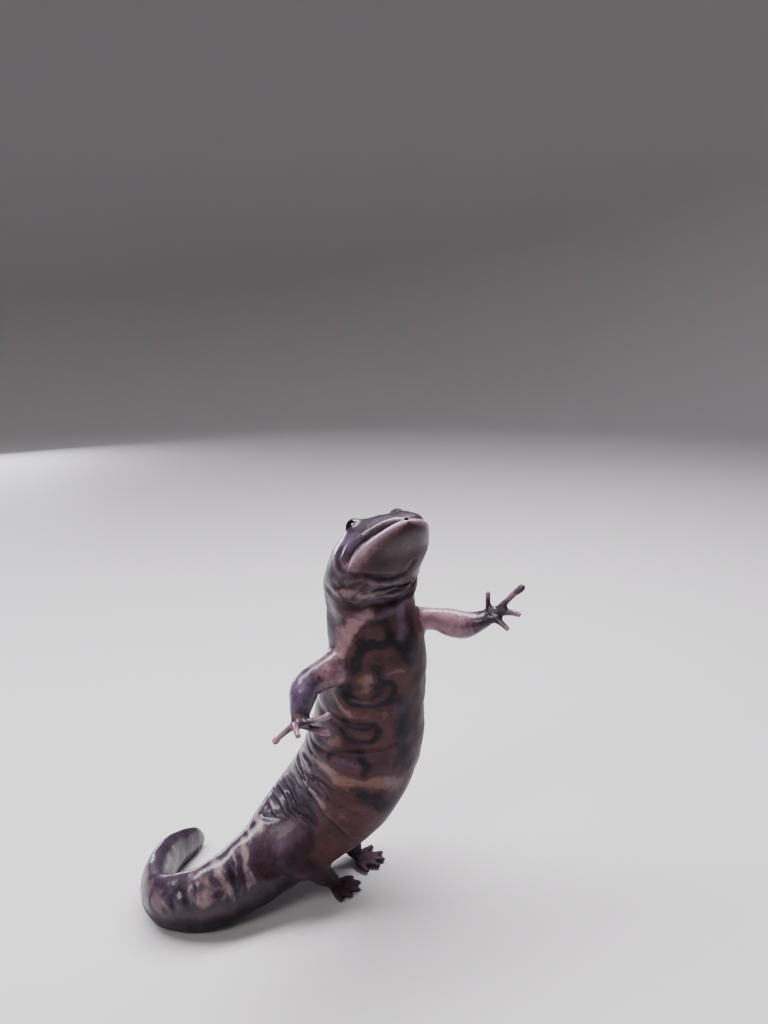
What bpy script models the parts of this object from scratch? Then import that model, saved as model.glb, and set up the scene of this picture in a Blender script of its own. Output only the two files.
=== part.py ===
"""A tiger salamander at life size, rearing on its hind feet and its curled tail.

The whole body is one surface: oval sections carried along the spine from the snout to the tip of
the tail, with the mouth, folds, costal grooves and brows pressed into them or raised on them. Flat
cuts across it part head, neck, torso and tail. Each limb is a tube with its digits fused on, and
is cut clear of the body where it grows from it. Lengths are in millimetres until a mesh is made.
+X is to the right, the animal faces between +X and -Y, and it stands on z = 0.
"""
import bpy
import bmesh
import numpy as np

MM = 0.001
GAP = 0.3

# How the head is held, and the place of the snout's tip on the line of the mouth
HEAD_TURN = np.radians(45.5)
HEAD_TILT = np.radians(55)
SNOUT = np.array([4.9, -19.7, 102.0])
HEAD_FORWARD = np.array([
    np.sin(HEAD_TURN) * np.cos(HEAD_TILT),
    -np.cos(HEAD_TURN) * np.cos(HEAD_TILT),
    np.sin(HEAD_TILT),
])
HEAD_BACK = np.array([
    -np.sin(HEAD_TURN) * np.sin(HEAD_TILT),
    np.cos(HEAD_TURN) * np.sin(HEAD_TILT),
    np.cos(HEAD_TILT),
])


def on_head(behind_snout):
    """A place on the head's axis, this far behind the snout."""
    return tuple(SNOUT - behind_snout * HEAD_FORWARD)


# Sections along the spine: centre, direction of the back, half width, height of the back above
# the centre, depth of the belly below it
SECTIONS = {
    "snout": (on_head(0), HEAD_BACK, 12.2, 8.6, 5.2),
    "face": (on_head(9), HEAD_BACK, 12.1, 8.9, 5.6),
    "nape": (on_head(17), HEAD_BACK, 11.8, 9.0, 6.8),
    "neck": ((-3.0, -9.3, 78.8), (-0.67, 0.72, 0.2), 10.9, 9.1, 8.6),
    "shoulders": ((-2.0, -6.3, 67.0), (-0.67, 0.74, 0.05), 12.6, 9.8, 11.0),
    "ribs": ((-3.4, -3.6, 53.0), (-0.70, 0.70, 0.0), 14.0, 11.4, 12.6),
    "belly": ((-5.6, -1.2, 39.0), (-0.78, 0.60, 0.1), 16.0, 13.0, 14.0),
    "loin": ((-10.2, -0.8, 27.2), (-0.82, 0.46, 0.3), 14.4, 14.8, 13.6),
    "hips": ((-17.6, -2.8, 17.4), (-0.76, 0.24, 0.6), 10.8, 14.6, 10.4),
    "vent": ((-26.0, -8.2, 11.9), (-0.45, 0.05, 0.9), 8.4, 13.0, 7.6),
    "rump": ((-35.0, -14.6, 9.4), (-0.15, 0.0, 1.0), 7.0, 10.2, 7.8),
    "thick tail": ((-44.2, -19.4, 7.8), (0.0, 0.0, 1.0), 5.8, 8.0, 8.0),
    "turn": ((-52.6, -18.2, 6.6), (0.0, 0.0, 1.0), 4.9, 6.6, 6.85),
    "far turn": ((-56.8, -10.6, 5.6), (0.0, 0.0, 1.0), 4.1, 6.8, 5.85),
    "back turn": ((-57.0, -1.2, 4.8), (0.0, 0.0, 1.0), 3.4, 7.0, 5.05),
    "thin tail": ((-54.2, 7.8, 3.6), (0.0, 0.0, 1.0), 2.6, 5.6, 3.85),
    "tip": ((-50.4, 15.6, 2.0), (0.0, 0.0, 1.0), 1.5, 3.0, 2.2),
}
# How square the sections are, from 2 for an ellipse, by distance behind the snout
SQUARENESS = ((0, 2.6), (20, 2.35), (35, 2.1), (60, 2.15), (110, 2.0), (140, 1.8))
MUZZLE_LENGTH = 15.0
TAIL_END_LENGTH = 5.0

# Where the body is cut into its named lengths, by distance behind the snout
LENGTHS = {
    "head": (0.0, 22.5),
    "neck": (22.5, 35.0),
    "torso_chest": (35.0, 60.0),
    "torso_belly": (60.0, 83.5),
    "torso_hips": (83.5, 106.0),
    "tail_base": (106.0, 127.0),
    "tail_middle": (127.0, 149.0),
    "tail_tip": (149.0, None),
}

# Face
EYE_BEHIND_SNOUT = 7.2
EYE_ASIDE = 6.6
EYE_ABOVE_MOUTH = 6.1
EYE_RADIUS = 1.7
BROW_HEIGHT = 0.9
BROW_WIDTH = 3.6
LID_THICKNESS = 0.45
LID_OPENING = (1.7, 1.2, 1.8)
LID_OPENING_OUT = 2.0
EYE_LOOK = (0.3, 1.0, 0.45)
MOUTH_CORNER = 13.0
MOUTH_GROOVE_DEPTH = 0.7
LIP_HEIGHT = 0.6
LIP_CREST = 1.4
LIP_WIDTH = 1.1
MOUTH_BOW = 0.075
NOSTRIL_BEHIND_SNOUT = 0.9
NOSTRIL_ASIDE = 3.7
NOSTRIL_ABOVE_MOUTH = 3.4
NOSTRIL_RADIUS = 0.6

# Folds and grooves: distance behind the snout, height (grooves are negative), half width
THROAT_FOLDS = ((19.3, -0.7, 0.9), (22.0, 0.5, 1.2), (24.3, -0.45, 0.7), (27.0, 0.7, 1.3), (28.8, -0.8, 0.8))
COSTAL_GROOVES = 12
FIRST_GROOVE = 45.0
GROOVE_SPACING = 4.2
GROOVE_DEPTH = 0.5
GROOVE_HALF_WIDTH = 0.8

# Limbs: each is one tube or two that meet at the knee. A tube is places along it from its root,
# with half widths across and through it. The first place lies well inside the body. The digits'
# places follow.
ARM_RIGHT = ((
    ((-2.6, -6.6, 67.8), 5.6, 5.8),
    ((-7.6, -11.6, 66.2), 4.9, 5.0),
    ((-13.2, -16.2, 64.7), 3.8, 3.9),
    ((-17.6, -19.4, 62.8), 3.2, 3.2),
    ((-18.6, -21.4, 60.0), 3.2, 3.0),
    ((-18.9, -22.8, 57.6), 2.3, 2.0),
    ((-19.2, -24.0, 55.8), 3.1, 1.5),
),)
FINGERS_RIGHT = (
    ((-19.8, -24.0, 55.8), (-22.4, -25.0, 54.2), (-24.8, -25.4, 51.8)),
    ((-19.4, -24.0, 55.8), (-19.4, -27.4, 56.4), (-18.6, -29.6, 55.4)),
    ((-18.9, -24.1, 55.9), (-14.8, -25.6, 57.6), (-11.7, -25.6, 59.0)),
    ((-18.8, -23.9, 55.5), (-15.0, -23.4, 54.0), (-12.0, -23.2, 53.2)),
)
ARM_LEFT = ((
    ((0.0, -5.5, 71.0), 5.6, 5.8),
    ((5.4, -4.2, 72.8), 4.6, 4.6),
    ((11.0, -2.8, 73.2), 2.9, 2.8),
    ((15.6, -2.6, 72.2), 3.3, 3.2),
    ((19.6, -3.2, 71.8), 3.4, 3.3),
    ((23.0, -4.0, 72.8), 2.8, 2.5),
    ((25.8, -4.6, 74.8), 3.3, 1.6),
),)
FINGERS_LEFT = (
    ((25.4, -4.5, 74.8), (25.0, -3.8, 77.6), (25.0, -3.2, 80.2)),
    ((25.7, -4.7, 75.0), (30.0, -5.4, 79.2), (33.2, -6.0, 82.6)),
    ((25.9, -4.8, 74.9), (29.6, -6.2, 76.0), (32.6, -7.0, 75.6)),
    ((25.6, -4.8, 74.6), (27.8, -6.8, 73.6), (29.6, -8.4, 72.4)),
)
LEG_RIGHT = (
    (
        ((-15.0, -2.0, 17.0), 7.0, 6.6),
        ((-20.4, -8.8, 18.4), 6.0, 5.7),
        ((-24.6, -13.8, 17.6), 4.9, 4.7),
        ((-26.9, -17.6, 16.2), 4.4, 4.3),
    ),
    (
        ((-24.6, -14.0, 16.8), 4.3, 4.1),
        ((-21.4, -13.4, 13.4), 4.0, 3.7),
        ((-17.8, -10.4, 9.9), 3.3, 3.1),
        ((-14.4, -7.0, 5.2), 2.7, 2.5),
        ((-12.2, -4.7, 1.8), 3.3, 1.8),
    ),
)
TOES_RIGHT = (
    ((-12.8, -5.6, 1.0), (-12.0, -8.2, 1.0), (-10.6, -10.4, 0.8)),
    ((-12.6, -5.4, 1.0), (-10.2, -7.2, 1.0), (-8.0, -8.8, 0.8)),
    ((-12.4, -5.0, 1.0), (-9.0, -5.4, 1.0), (-5.8, -6.0, 0.8)),
    ((-12.4, -4.6, 1.0), (-9.0, -3.4, 1.0), (-6.0, -3.0, 0.8)),
    ((-12.6, -4.2, 1.0), (-10.4, -1.8, 1.0), (-8.0, -0.6, 0.8)),
)
LEG_LEFT = (
    (
        ((-15.0, 0.5, 17.0), 6.8, 6.6),
        ((-11.4, 7.4, 16.0), 5.7, 5.6),
        ((-7.8, 11.8, 13.0), 4.8, 4.6),
        ((-5.4, 14.8, 10.8), 4.3, 4.2),
    ),
    (
        ((-7.8, 11.8, 12.2), 4.2, 4.0),
        ((-8.8, 10.6, 8.2), 3.8, 3.6),
        ((-9.0, 8.6, 4.8), 3.1, 2.9),
        ((-7.1, 6.8, 1.8), 3.3, 1.8),
    ),
)
TOES_LEFT = (
    ((-7.4, 6.2, 1.0), (-6.2, 3.6, 1.0), (-4.0, 1.8, 0.8)),
    ((-7.2, 6.5, 1.0), (-4.0, 5.0, 1.0), (-1.0, 4.2, 0.8)),
    ((-7.0, 6.8, 1.0), (-3.0, 7.1, 1.0), (0.2, 7.3, 0.8)),
    ((-7.2, 7.2, 1.0), (-3.2, 9.1, 1.0), (-0.2, 10.4, 0.8)),
    ((-7.4, 7.6, 1.0), (-5.4, 10.8, 1.0), (-3.0, 13.0, 0.8)),
)
FLAT_ARM_RIGHT = (-0.25, -0.35, 1.0)
FLAT_ARM_LEFT = (-0.6, -0.3, 1.0)
FLAT_LEG = (0.1, 0.1, 1.0)
DIGIT_SIZES = ((1.3, 1.15), (1.12, 0.95), (0.85, 0.75))

# Grid sizes of the solids
BODY_SIDES = 34
TAIL_SIDES = 24
LIMB_SIDES = 12
DIGIT_SIDES = 7
DIGIT_ROWS = 4
TUBE_ROW_SPACING = 1.7
ROW_SPACING = 1.9


def smooth_curve(x, knots, values):
    """Cubic pieces through the values at the knots, with slopes from the neighbours on each side."""
    x = np.atleast_1d(np.asarray(x, float))
    knots = np.asarray(knots, float)
    values = np.asarray(values, float).reshape(len(knots), -1)
    step = np.diff(knots)[:, None]
    rise = np.diff(values, axis=0) / step
    slope = np.empty_like(values)
    slope[1:-1] = (rise[:-1] * step[1:] + rise[1:] * step[:-1]) / (step[1:] + step[:-1])
    slope[0], slope[-1] = rise[0], rise[-1]
    i = np.clip(np.searchsorted(knots, x, side="right") - 1, 0, len(knots) - 2)
    t = ((x - knots[i]) / step[i, 0])[:, None]
    start = (2 * t**3 - 3 * t**2 + 1) * values[i] + (t**3 - 2 * t**2 + t) * step[i] * slope[i]
    end = (3 * t**2 - 2 * t**3) * values[i + 1] + (t**3 - t**2) * step[i] * slope[i + 1]
    return start + end


def unit(vectors):
    return vectors / np.linalg.norm(vectors, axis=-1, keepdims=True)


def run_of(places):
    """Distance along a chain of places, from its first."""
    return np.concatenate([[0.0], np.cumsum(np.linalg.norm(np.diff(places, axis=0), axis=1))])


CENTRES = np.array([row[0] for row in SECTIONS.values()])
BACKS = np.array([row[1] for row in SECTIONS.values()])
GIRTHS = np.array([row[2:] for row in SECTIONS.values()])
RUN = run_of(CENTRES)
BODY_LENGTH = RUN[-1]


def spine(u):
    """Centre, forward, left and back directions at distances u behind the snout."""
    small = 0.4
    centre = smooth_curve(u, RUN, CENTRES)
    forward = unit(smooth_curve(u - small, RUN, CENTRES) - smooth_curve(u + small, RUN, CENTRES))
    hint = smooth_curve(u, RUN, BACKS)
    back = unit(hint - (hint * forward).sum(-1, keepdims=True) * forward)
    return centre, forward, np.cross(back, forward), back


def rounded(distance, reach, power):
    """0 at the end, 1 from reach onwards, on a superellipse."""
    t = np.clip(1 - distance / reach, 0, 1)
    return (1 - t**power) ** (1 / power)


def bump(x, middle, half_width):
    return np.exp(-(((x - middle) / half_width) ** 2))


def raised(u, x, z):
    """How far the skin stands out from the plain oval section at (u, x, z) in the body's own axes."""
    reach = np.hypot(x, z) + 1e-6
    side = np.abs(x) / reach
    below = np.clip(-z / reach, 0, 1)
    away = np.sqrt(
        (u - EYE_BEHIND_SNOUT) ** 2 + (np.abs(x) - EYE_ASIDE) ** 2 + (z - EYE_ABOVE_MOUTH) ** 2
    )
    height = BROW_HEIGHT * np.exp(-((away / BROW_WIDTH) ** 2))
    height += 0.9 * bump(u, 16.5, 4.5) * bump(z, -0.5, 4.0) * side
    height -= 0.5 * bump(u, 6.0, 6.0) * bump(x, 0.0, 2.6) * np.clip((z + 1.0) / 2.0, 0, 1)
    for place, fold, half_width in THROAT_FOLDS:
        height += fold * bump(u, place, half_width) * np.clip(below * 1.6, 0, 1)
    grooves = np.zeros_like(height)
    for count in range(COSTAL_GROOVES):
        grooves += bump(u, FIRST_GROOVE + GROOVE_SPACING * count, GROOVE_HALF_WIDTH)
    return height - GROOVE_DEPTH * grooves * np.clip(2.2 * side - 1.0, 0, 1)


def mouth_line(u, turn):
    """Groove of the mouth and its lips. turn is the angle from the line of the mouth."""
    along = np.clip((MOUTH_CORNER - u) / 1.5, 0, 1)
    off = np.minimum(np.abs(turn), np.abs(np.abs(turn) - np.pi))
    arc = off * np.maximum(12.0 * rounded(u, MUZZLE_LENGTH, 2.2), 1.0)
    groove = -MOUTH_GROOVE_DEPTH * bump(arc, 0.0, 0.45)
    lips = LIP_HEIGHT * bump(arc, LIP_CREST, LIP_WIDTH)
    return along * (groove + lips) * rounded(u, 1.5, 2.0)


def skin(u, turn, grow=0.0):
    """Points of the body at distances u (rows) and angles turn (columns).

    The angle runs from the left side's mouth line over the back (90 degrees) and the right side
    round to the belly (270). The section is a superellipse with its own height above and below.
    """
    u = np.asarray(u, float)
    centre, _, left, back = spine(u)
    girth = smooth_curve(u, RUN, GIRTHS)
    girth[:, 0] *= rounded(u, MUZZLE_LENGTH, 2.2)
    girth[:, 1] *= rounded(u, MUZZLE_LENGTH, 2.0)
    girth[:, 2] *= rounded(u, MUZZLE_LENGTH + 1.0, 2.1)
    girth *= rounded(BODY_LENGTH - u, TAIL_END_LENGTH, 2.0)[:, None]
    droop = 0.16 * np.clip((u - 9.0) / 6.0, 0, 1) * np.clip((24.0 - u) / 6.0, 0, 1)
    droop -= MOUTH_BOW * bump(u, 6.5, 3.5)
    angle = turn[None, :] - droop[:, None] * np.cos(turn)[None, :]
    power = 2 / np.interp(u, *np.transpose(SQUARENESS))[:, None]
    across = np.sign(np.cos(angle)) * np.abs(np.cos(angle)) ** power * girth[:, :1]
    tall = np.where(np.sin(angle) > 0, girth[:, 1:2], girth[:, 2:])
    up = np.sign(np.sin(angle)) * np.abs(np.sin(angle)) ** power * tall
    reach = np.hypot(across, up) + 1e-9
    out = raised(u[:, None], across, up) * np.clip(reach / 2.0, 0, 1)
    signed = (turn + np.pi) % (2 * np.pi) - np.pi
    out = out + mouth_line(u[:, None], signed[None, :]) + grow
    across = across * (1 + out / reach)
    up = up * (1 + out / reach)
    return centre[:, None] + left[:, None] * across[..., None] + back[:, None] * up[..., None]


def mesh_object(name, points, faces, colour, roughness):
    """An object from points in millimetres, with its own material and smooth shading."""
    mesh = bpy.data.meshes.new(name)
    mesh.from_pydata([tuple(p) for p in np.asarray(points) * MM], [], faces)
    mesh.validate()
    mesh.shade_smooth()
    mesh.set_sharp_from_angle(angle=np.radians(50))
    material = bpy.data.materials.new(name)
    material.use_nodes = True
    surface = material.node_tree.nodes["Principled BSDF"]
    surface.inputs["Base Color"].default_value = (*colour, 1.0)
    surface.inputs["Roughness"].default_value = roughness
    surface.inputs["Metallic"].default_value = 0.0
    mesh.materials.append(material)
    obj = bpy.data.objects.new(name, mesh)
    bpy.context.scene.collection.objects.link(obj)
    return obj


def tube_mesh(rings, start, end):
    """Points and faces of a closed tube of rings, fanned to a point at each end."""
    rows, sides = rings.shape[:2]
    points = np.concatenate([rings.reshape(-1, 3), [start, end]])
    faces = []
    for row in range(rows - 1):
        for side in range(sides):
            a = row * sides + side
            b = row * sides + (side + 1) % sides
            faces.append((a, a + sides, b + sides, b))
    first, last = rows * sides, rows * sides + 1
    for side in range(sides):
        after = (side + 1) % sides
        faces.append((first, side, after))
        faces.append((last, (rows - 1) * sides + after, (rows - 1) * sides + side))
    return points, faces


def body_rows(start, end):
    """Distances behind the snout for the rows of one length, with rows in each costal groove."""
    stop = BODY_LENGTH if end is None else end
    rows = set()
    if start == 0.0:
        rows.update(MUZZLE_LENGTH * (np.linspace(0.07, 1.0, 15) ** 2.0))
        rows.update(np.arange(MUZZLE_LENGTH + 1.1, stop, 1.1))
    else:
        rows.update(np.arange(start + ROW_SPACING, stop - 0.8, ROW_SPACING))
    grooved = [FIRST_GROOVE + GROOVE_SPACING * count for count in range(COSTAL_GROOVES)]
    if any(start < place < stop for place in grooved):
        low, high = grooved[0] - 1.4, grooved[-1] + 1.4
        rows = {u for u in rows if not low - 0.8 < u < high + 0.8}
        for place in grooved:
            rows.update(place + np.array([-1.4, 0.0, 1.4]))
    folded = [fold[0] for fold in THROAT_FOLDS]
    rows.update(folded)
    rows = sorted(u for u in rows if start + 0.5 < u < stop - 0.5)
    if end is None:
        rows += list(BODY_LENGTH - np.array([0.4, 0.1]))
    return np.array(rows)


def head_turns():
    """Angles round the head, with close lines at the mouth on both sides."""
    near_mouth = np.array([-0.19, -0.1, 0.0, 0.1, 0.19])
    between = np.linspace(0.19, np.pi - 0.19, 16)[1:-1]
    return np.concatenate([near_mouth[2:], between, np.pi + near_mouth, np.pi + between, 2 * np.pi + near_mouth[:2]])


def body_length(name, start, end, sides, colour):
    """One named length of the body, with a flat face half a gap short of each cut."""
    turns = head_turns() if name == "head" else np.linspace(0, 2 * np.pi, sides, endpoint=False)
    rings = [skin(body_rows(start, end), turns)]
    if start > 0:
        _, forward, _, _ = spine(np.array([start]))
        first = skin(np.array([start]), turns) - forward * GAP / 2
        rings.insert(0, first)
        start_point = first[0].mean(axis=0)
    else:
        start_point = SNOUT
    if end is None:
        end_point = spine(np.array([BODY_LENGTH]))[0][0]
    else:
        _, forward, _, _ = spine(np.array([end]))
        last = skin(np.array([end]), turns) + forward * GAP / 2
        rings.append(last)
        end_point = last[0].mean(axis=0)
    points, faces = tube_mesh(np.concatenate(rings), start_point, end_point)
    points[:, 2] = np.maximum(points[:, 2], 0.0)
    return mesh_object(name, points, faces, colour, 0.3)


def limb_rings(places, sizes, flat, sides, rows):
    """A tube along a smooth curve through the places, rounded off at its far end."""
    places = np.array(places)
    run = run_of(places)
    tip = float(np.mean(sizes[-1]))
    lift = np.radians([30, 58, 80])
    along = np.concatenate([np.linspace(0, run[-1] - tip, rows), run[-1] - tip + tip * np.sin(lift)])
    shrink = np.concatenate([np.ones(rows), np.cos(lift)])[:, None]
    centre = smooth_curve(along, run, places)
    half = smooth_curve(along, run, sizes) * shrink
    forward = unit(np.gradient(centre, along, axis=0))
    thin = np.asarray(flat, float)
    thin = unit(thin - (forward @ thin)[:, None] * forward)
    wide = np.cross(forward, thin)
    angle = np.linspace(0, 2 * np.pi, sides, endpoint=False)
    rings = centre[:, None] + wide[:, None] * (np.cos(angle)[:, None] * half[:, None, :1])
    rings = rings + thin[:, None] * (np.sin(angle)[:, None] * half[:, None, 1:])
    return rings, centre[0], places[-1]


def applied(obj):
    """Puts the object's modifiers into its mesh."""
    graph = bpy.context.evaluated_depsgraph_get()
    mesh = bpy.data.meshes.new_from_object(obj.evaluated_get(graph))
    obj.modifiers.clear()
    obj.data = mesh


def combine(obj, others, operation, solver="EXACT"):
    """One Boolean of the object with a collection of others, which are then removed."""
    group = bpy.data.collections.new(obj.name + "_" + operation.lower())
    bpy.context.scene.collection.children.link(group)
    for other in others:
        bpy.context.scene.collection.objects.unlink(other)
        group.objects.link(other)
    boolean = obj.modifiers.new(operation.title(), "BOOLEAN")
    boolean.operation = operation
    boolean.operand_type = "COLLECTION"
    boolean.collection = group
    boolean.solver = solver
    if solver == "EXACT":
        boolean.use_self = operation == "UNION"
    bpy.context.view_layer.update()
    applied(obj)
    for other in others:
        bpy.data.objects.remove(other)
    bpy.data.collections.remove(group)


def keep_largest(obj):
    """Leaves only the largest closed surface of the object's mesh."""
    shape = bmesh.new()
    shape.from_mesh(obj.data)
    bmesh.ops.triangulate(shape, faces=shape.faces)
    unseen = set(shape.faces)
    surfaces = []
    while unseen:
        surface = [unseen.pop()]
        for face in surface:
            near = {other for edge in face.edges for other in edge.link_faces} & unseen
            unseen -= near
            surface.extend(near)
        surfaces.append(surface)
    surfaces.sort(key=len)
    for surface in surfaces[:-1]:
        bmesh.ops.delete(shape, geom=surface, context="FACES")
    shape.to_mesh(obj.data)
    shape.free()


def plain_object(name, rings_and_ends):
    points, faces = tube_mesh(*rings_and_ends)
    return mesh_object(name, points, faces, (0.1, 0.08, 0.1), 0.4)


def body_cutter():
    """The whole body grown by the gap, which clears the root of each limb."""
    rows = np.concatenate([
        MUZZLE_LENGTH * (np.linspace(0.06, 1.0, 10) ** 2.0),
        np.arange(MUZZLE_LENGTH + 1.2, BODY_LENGTH - 1.0, 1.2),
        BODY_LENGTH - np.array([0.4, 0.1]),
    ])
    turns = np.linspace(0, 2 * np.pi, BODY_SIDES, endpoint=False)
    forward = spine(np.array([0.0]))[1][0]
    end = spine(np.array([BODY_LENGTH]))[0][0]
    return plain_object("body_cutter", (skin(rows, turns, GAP + 0.05), SNOUT + GAP * forward, end))


def floor_cutter():
    """A slab whose top is the floor."""
    shape = bmesh.new()
    bmesh.ops.create_cube(shape, size=1.0)
    points = [(v.co.x * 200.0, v.co.y * 200.0, v.co.z * 20.0 - 10.0) for v in shape.verts]
    faces = [tuple(v.index for v in face.verts) for face in shape.faces]
    shape.free()
    return mesh_object("floor_cutter", points, faces, (0.5, 0.5, 0.5), 0.5)


def limb(name, tubes, digits, flat, colour):
    """A limb with its digits fused on, cut clear of the body and flat where it stands.

    The tubes cross each other at a shallow angle, where the exact solver leaves open edges.
    """
    shapes = []
    for tube in tubes:
        places = [row[0] for row in tube]
        rows = int(run_of(np.array(places))[-1] / TUBE_ROW_SPACING) + 2
        shapes.append(limb_rings(places, [row[1:] for row in tube], flat, LIMB_SIDES, rows))
    shapes += [limb_rings(digit, DIGIT_SIZES, flat, DIGIT_SIDES, DIGIT_ROWS) for digit in digits]
    points, faces = tube_mesh(*shapes[0])
    obj = mesh_object(name, points, faces, colour, 0.3)
    others = [plain_object(f"{name}_{count}", shape) for count, shape in enumerate(shapes[1:])]
    combine(obj, others, "UNION", "MANIFOLD")
    combine(obj, [body_cutter(), floor_cutter()], "DIFFERENCE", "MANIFOLD")
    keep_largest(obj)
    return obj


def head_place(behind_snout, aside, above_mouth):
    """A place in the head's own axes, with aside positive on the animal's left."""
    left = np.cross(HEAD_BACK, HEAD_FORWARD)
    return SNOUT - behind_snout * HEAD_FORWARD + aside * left + above_mouth * HEAD_BACK


def ball(name, centre, radius, detail, colour, roughness):
    """A ball, or an ellipsoid where radius is three half axes as rows."""
    shape = bmesh.new()
    bmesh.ops.create_icosphere(shape, subdivisions=detail, radius=1.0)
    axes = np.eye(3) * radius if np.ndim(radius) == 0 else radius
    order = 1 if np.linalg.det(axes) > 0 else -1
    points = np.array([v.co[:] for v in shape.verts]) @ axes + centre
    faces = [tuple(v.index for v in face.verts)[::order] for face in shape.faces]
    shape.free()
    return mesh_object(name, points, faces, colour, roughness)


def eye_axes(side):
    """The way an eye looks, and the directions across it towards the snout and the crown."""
    ahead, aside, above = EYE_LOOK
    left = np.cross(HEAD_BACK, HEAD_FORWARD)
    look = unit(ahead * HEAD_FORWARD + side * aside * left + above * HEAD_BACK)
    fore = unit(HEAD_FORWARD - (HEAD_FORWARD @ look) * look)
    return look, fore, unit(HEAD_BACK - (HEAD_BACK @ look) * look - (HEAD_BACK @ fore) * fore)


def finish_head(head):
    """A bulge of lids round each eye, its socket and the opening between the lids, and nostrils."""
    bulges = []
    cuts = []
    dull = ((0.1, 0.1, 0.1), 0.5)
    for word, side in (("left", 1), ("right", -1)):
        eye = head_place(EYE_BEHIND_SNOUT, side * EYE_ASIDE, EYE_ABOVE_MOUTH)
        look, fore, crown = eye_axes(side)
        bulges.append(ball(f"lids_{word}", eye, EYE_RADIUS + GAP + LID_THICKNESS, 3, *dull))
        cuts.append(ball(f"socket_{word}", eye, EYE_RADIUS + GAP, 3, *dull))
        axes = np.array(LID_OPENING)[:, None] * np.array([fore, crown, look])
        cuts.append(ball(f"opening_{word}", eye + LID_OPENING_OUT * look, axes, 3, *dull))
        nostril = head_place(NOSTRIL_BEHIND_SNOUT, side * NOSTRIL_ASIDE, NOSTRIL_ABOVE_MOUTH)
        cuts.append(ball(f"nostril_{word}", nostril, NOSTRIL_RADIUS, 2, *dull))
    combine(head, bulges, "UNION")
    combine(head, cuts, "DIFFERENCE")
    keep_largest(head)


def eyes():
    for word, side in (("left", 1), ("right", -1)):
        place = head_place(EYE_BEHIND_SNOUT, side * EYE_ASIDE, EYE_ABOVE_MOUTH)
        ball(f"eye_{word}", place, EYE_RADIUS, 3, (0.02, 0.018, 0.02), 0.08)


def put_origin_below():
    """Moves every mesh so that the origin is at the middle of the whole box, on the floor."""
    meshes = [obj.data for obj in bpy.context.scene.collection.all_objects]
    points = np.concatenate([[v.co[:] for v in mesh.vertices] for mesh in meshes])
    low, high = points.min(axis=0), points.max(axis=0)
    shift = np.array([-(low[0] + high[0]) / 2, -(low[1] + high[1]) / 2, -low[2]])
    for mesh in meshes:
        for vertex in mesh.vertices:
            vertex.co = [vertex.co[axis] + shift[axis] for axis in range(3)]


def main():
    for obj in list(bpy.data.objects):
        bpy.data.objects.remove(obj)
    dark = (0.055, 0.042, 0.055)
    brown = (0.10, 0.075, 0.07)
    for name, (start, end) in LENGTHS.items():
        sides = TAIL_SIDES if name.startswith("tail") else BODY_SIDES
        part = body_length(name, start, end, sides, brown if "torso" in name else dark)
        if name == "head":
            finish_head(part)
    limb("arm_right", ARM_RIGHT, FINGERS_RIGHT, FLAT_ARM_RIGHT, brown)
    limb("arm_left", ARM_LEFT, FINGERS_LEFT, FLAT_ARM_LEFT, brown)
    limb("leg_right", LEG_RIGHT, TOES_RIGHT, FLAT_LEG, dark)
    limb("leg_left", LEG_LEFT, TOES_LEFT, FLAT_LEG, dark)
    eyes()
    put_origin_below()


main()
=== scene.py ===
"""The looks of a tiger salamander that rears on its hind feet and its curled tail.

One closed skin stands for every length of the body and every limb. It is worked out from the same
oval sections and tubes as the solids, on a much finer grid, joined, smoothed where the limbs grow
from the body, and then wrinkled. Lengths are in millimetres until a mesh is stored.
"""

import bpy
import numpy as np
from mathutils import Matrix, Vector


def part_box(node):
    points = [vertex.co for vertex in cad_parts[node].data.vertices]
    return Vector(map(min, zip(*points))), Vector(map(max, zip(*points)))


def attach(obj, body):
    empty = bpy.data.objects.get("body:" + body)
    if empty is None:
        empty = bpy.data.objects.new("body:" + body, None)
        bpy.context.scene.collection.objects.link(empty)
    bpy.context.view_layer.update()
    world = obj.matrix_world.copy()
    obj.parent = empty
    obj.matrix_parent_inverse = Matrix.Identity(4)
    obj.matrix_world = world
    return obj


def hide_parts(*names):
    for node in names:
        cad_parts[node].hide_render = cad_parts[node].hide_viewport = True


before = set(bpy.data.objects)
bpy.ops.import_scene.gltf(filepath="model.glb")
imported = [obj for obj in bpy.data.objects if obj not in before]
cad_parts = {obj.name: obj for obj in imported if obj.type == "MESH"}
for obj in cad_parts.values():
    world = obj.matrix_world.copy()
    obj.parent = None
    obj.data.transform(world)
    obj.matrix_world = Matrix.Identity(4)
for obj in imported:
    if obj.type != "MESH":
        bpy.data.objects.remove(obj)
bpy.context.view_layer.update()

bl_info = {
    "name": "Tiger Salamander",
    "version": (1, 0, 0),
    "blender": (4, 5, 0),
    "location": "3D View > Sidebar > Salamander",
    "description": "Skin, eyes and studio of a rearing tiger salamander",
    "category": "Object",
}

MM = 0.001

# How the head is held, and the place of the snout's tip on the line of the mouth
HEAD_TURN = np.radians(45.5)
HEAD_TILT = np.radians(55)
SNOUT = np.array([4.9, -19.7, 102.0])
HEAD_FORWARD = np.array([
    np.sin(HEAD_TURN) * np.cos(HEAD_TILT),
    -np.cos(HEAD_TURN) * np.cos(HEAD_TILT),
    np.sin(HEAD_TILT),
])
HEAD_BACK = np.array([
    -np.sin(HEAD_TURN) * np.sin(HEAD_TILT),
    np.cos(HEAD_TURN) * np.sin(HEAD_TILT),
    np.cos(HEAD_TILT),
])
HEAD_LEFT = np.cross(HEAD_BACK, HEAD_FORWARD)


def on_head(behind_snout):
    """A place on the head's axis, this far behind the snout."""
    return tuple(SNOUT - behind_snout * HEAD_FORWARD)


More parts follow.
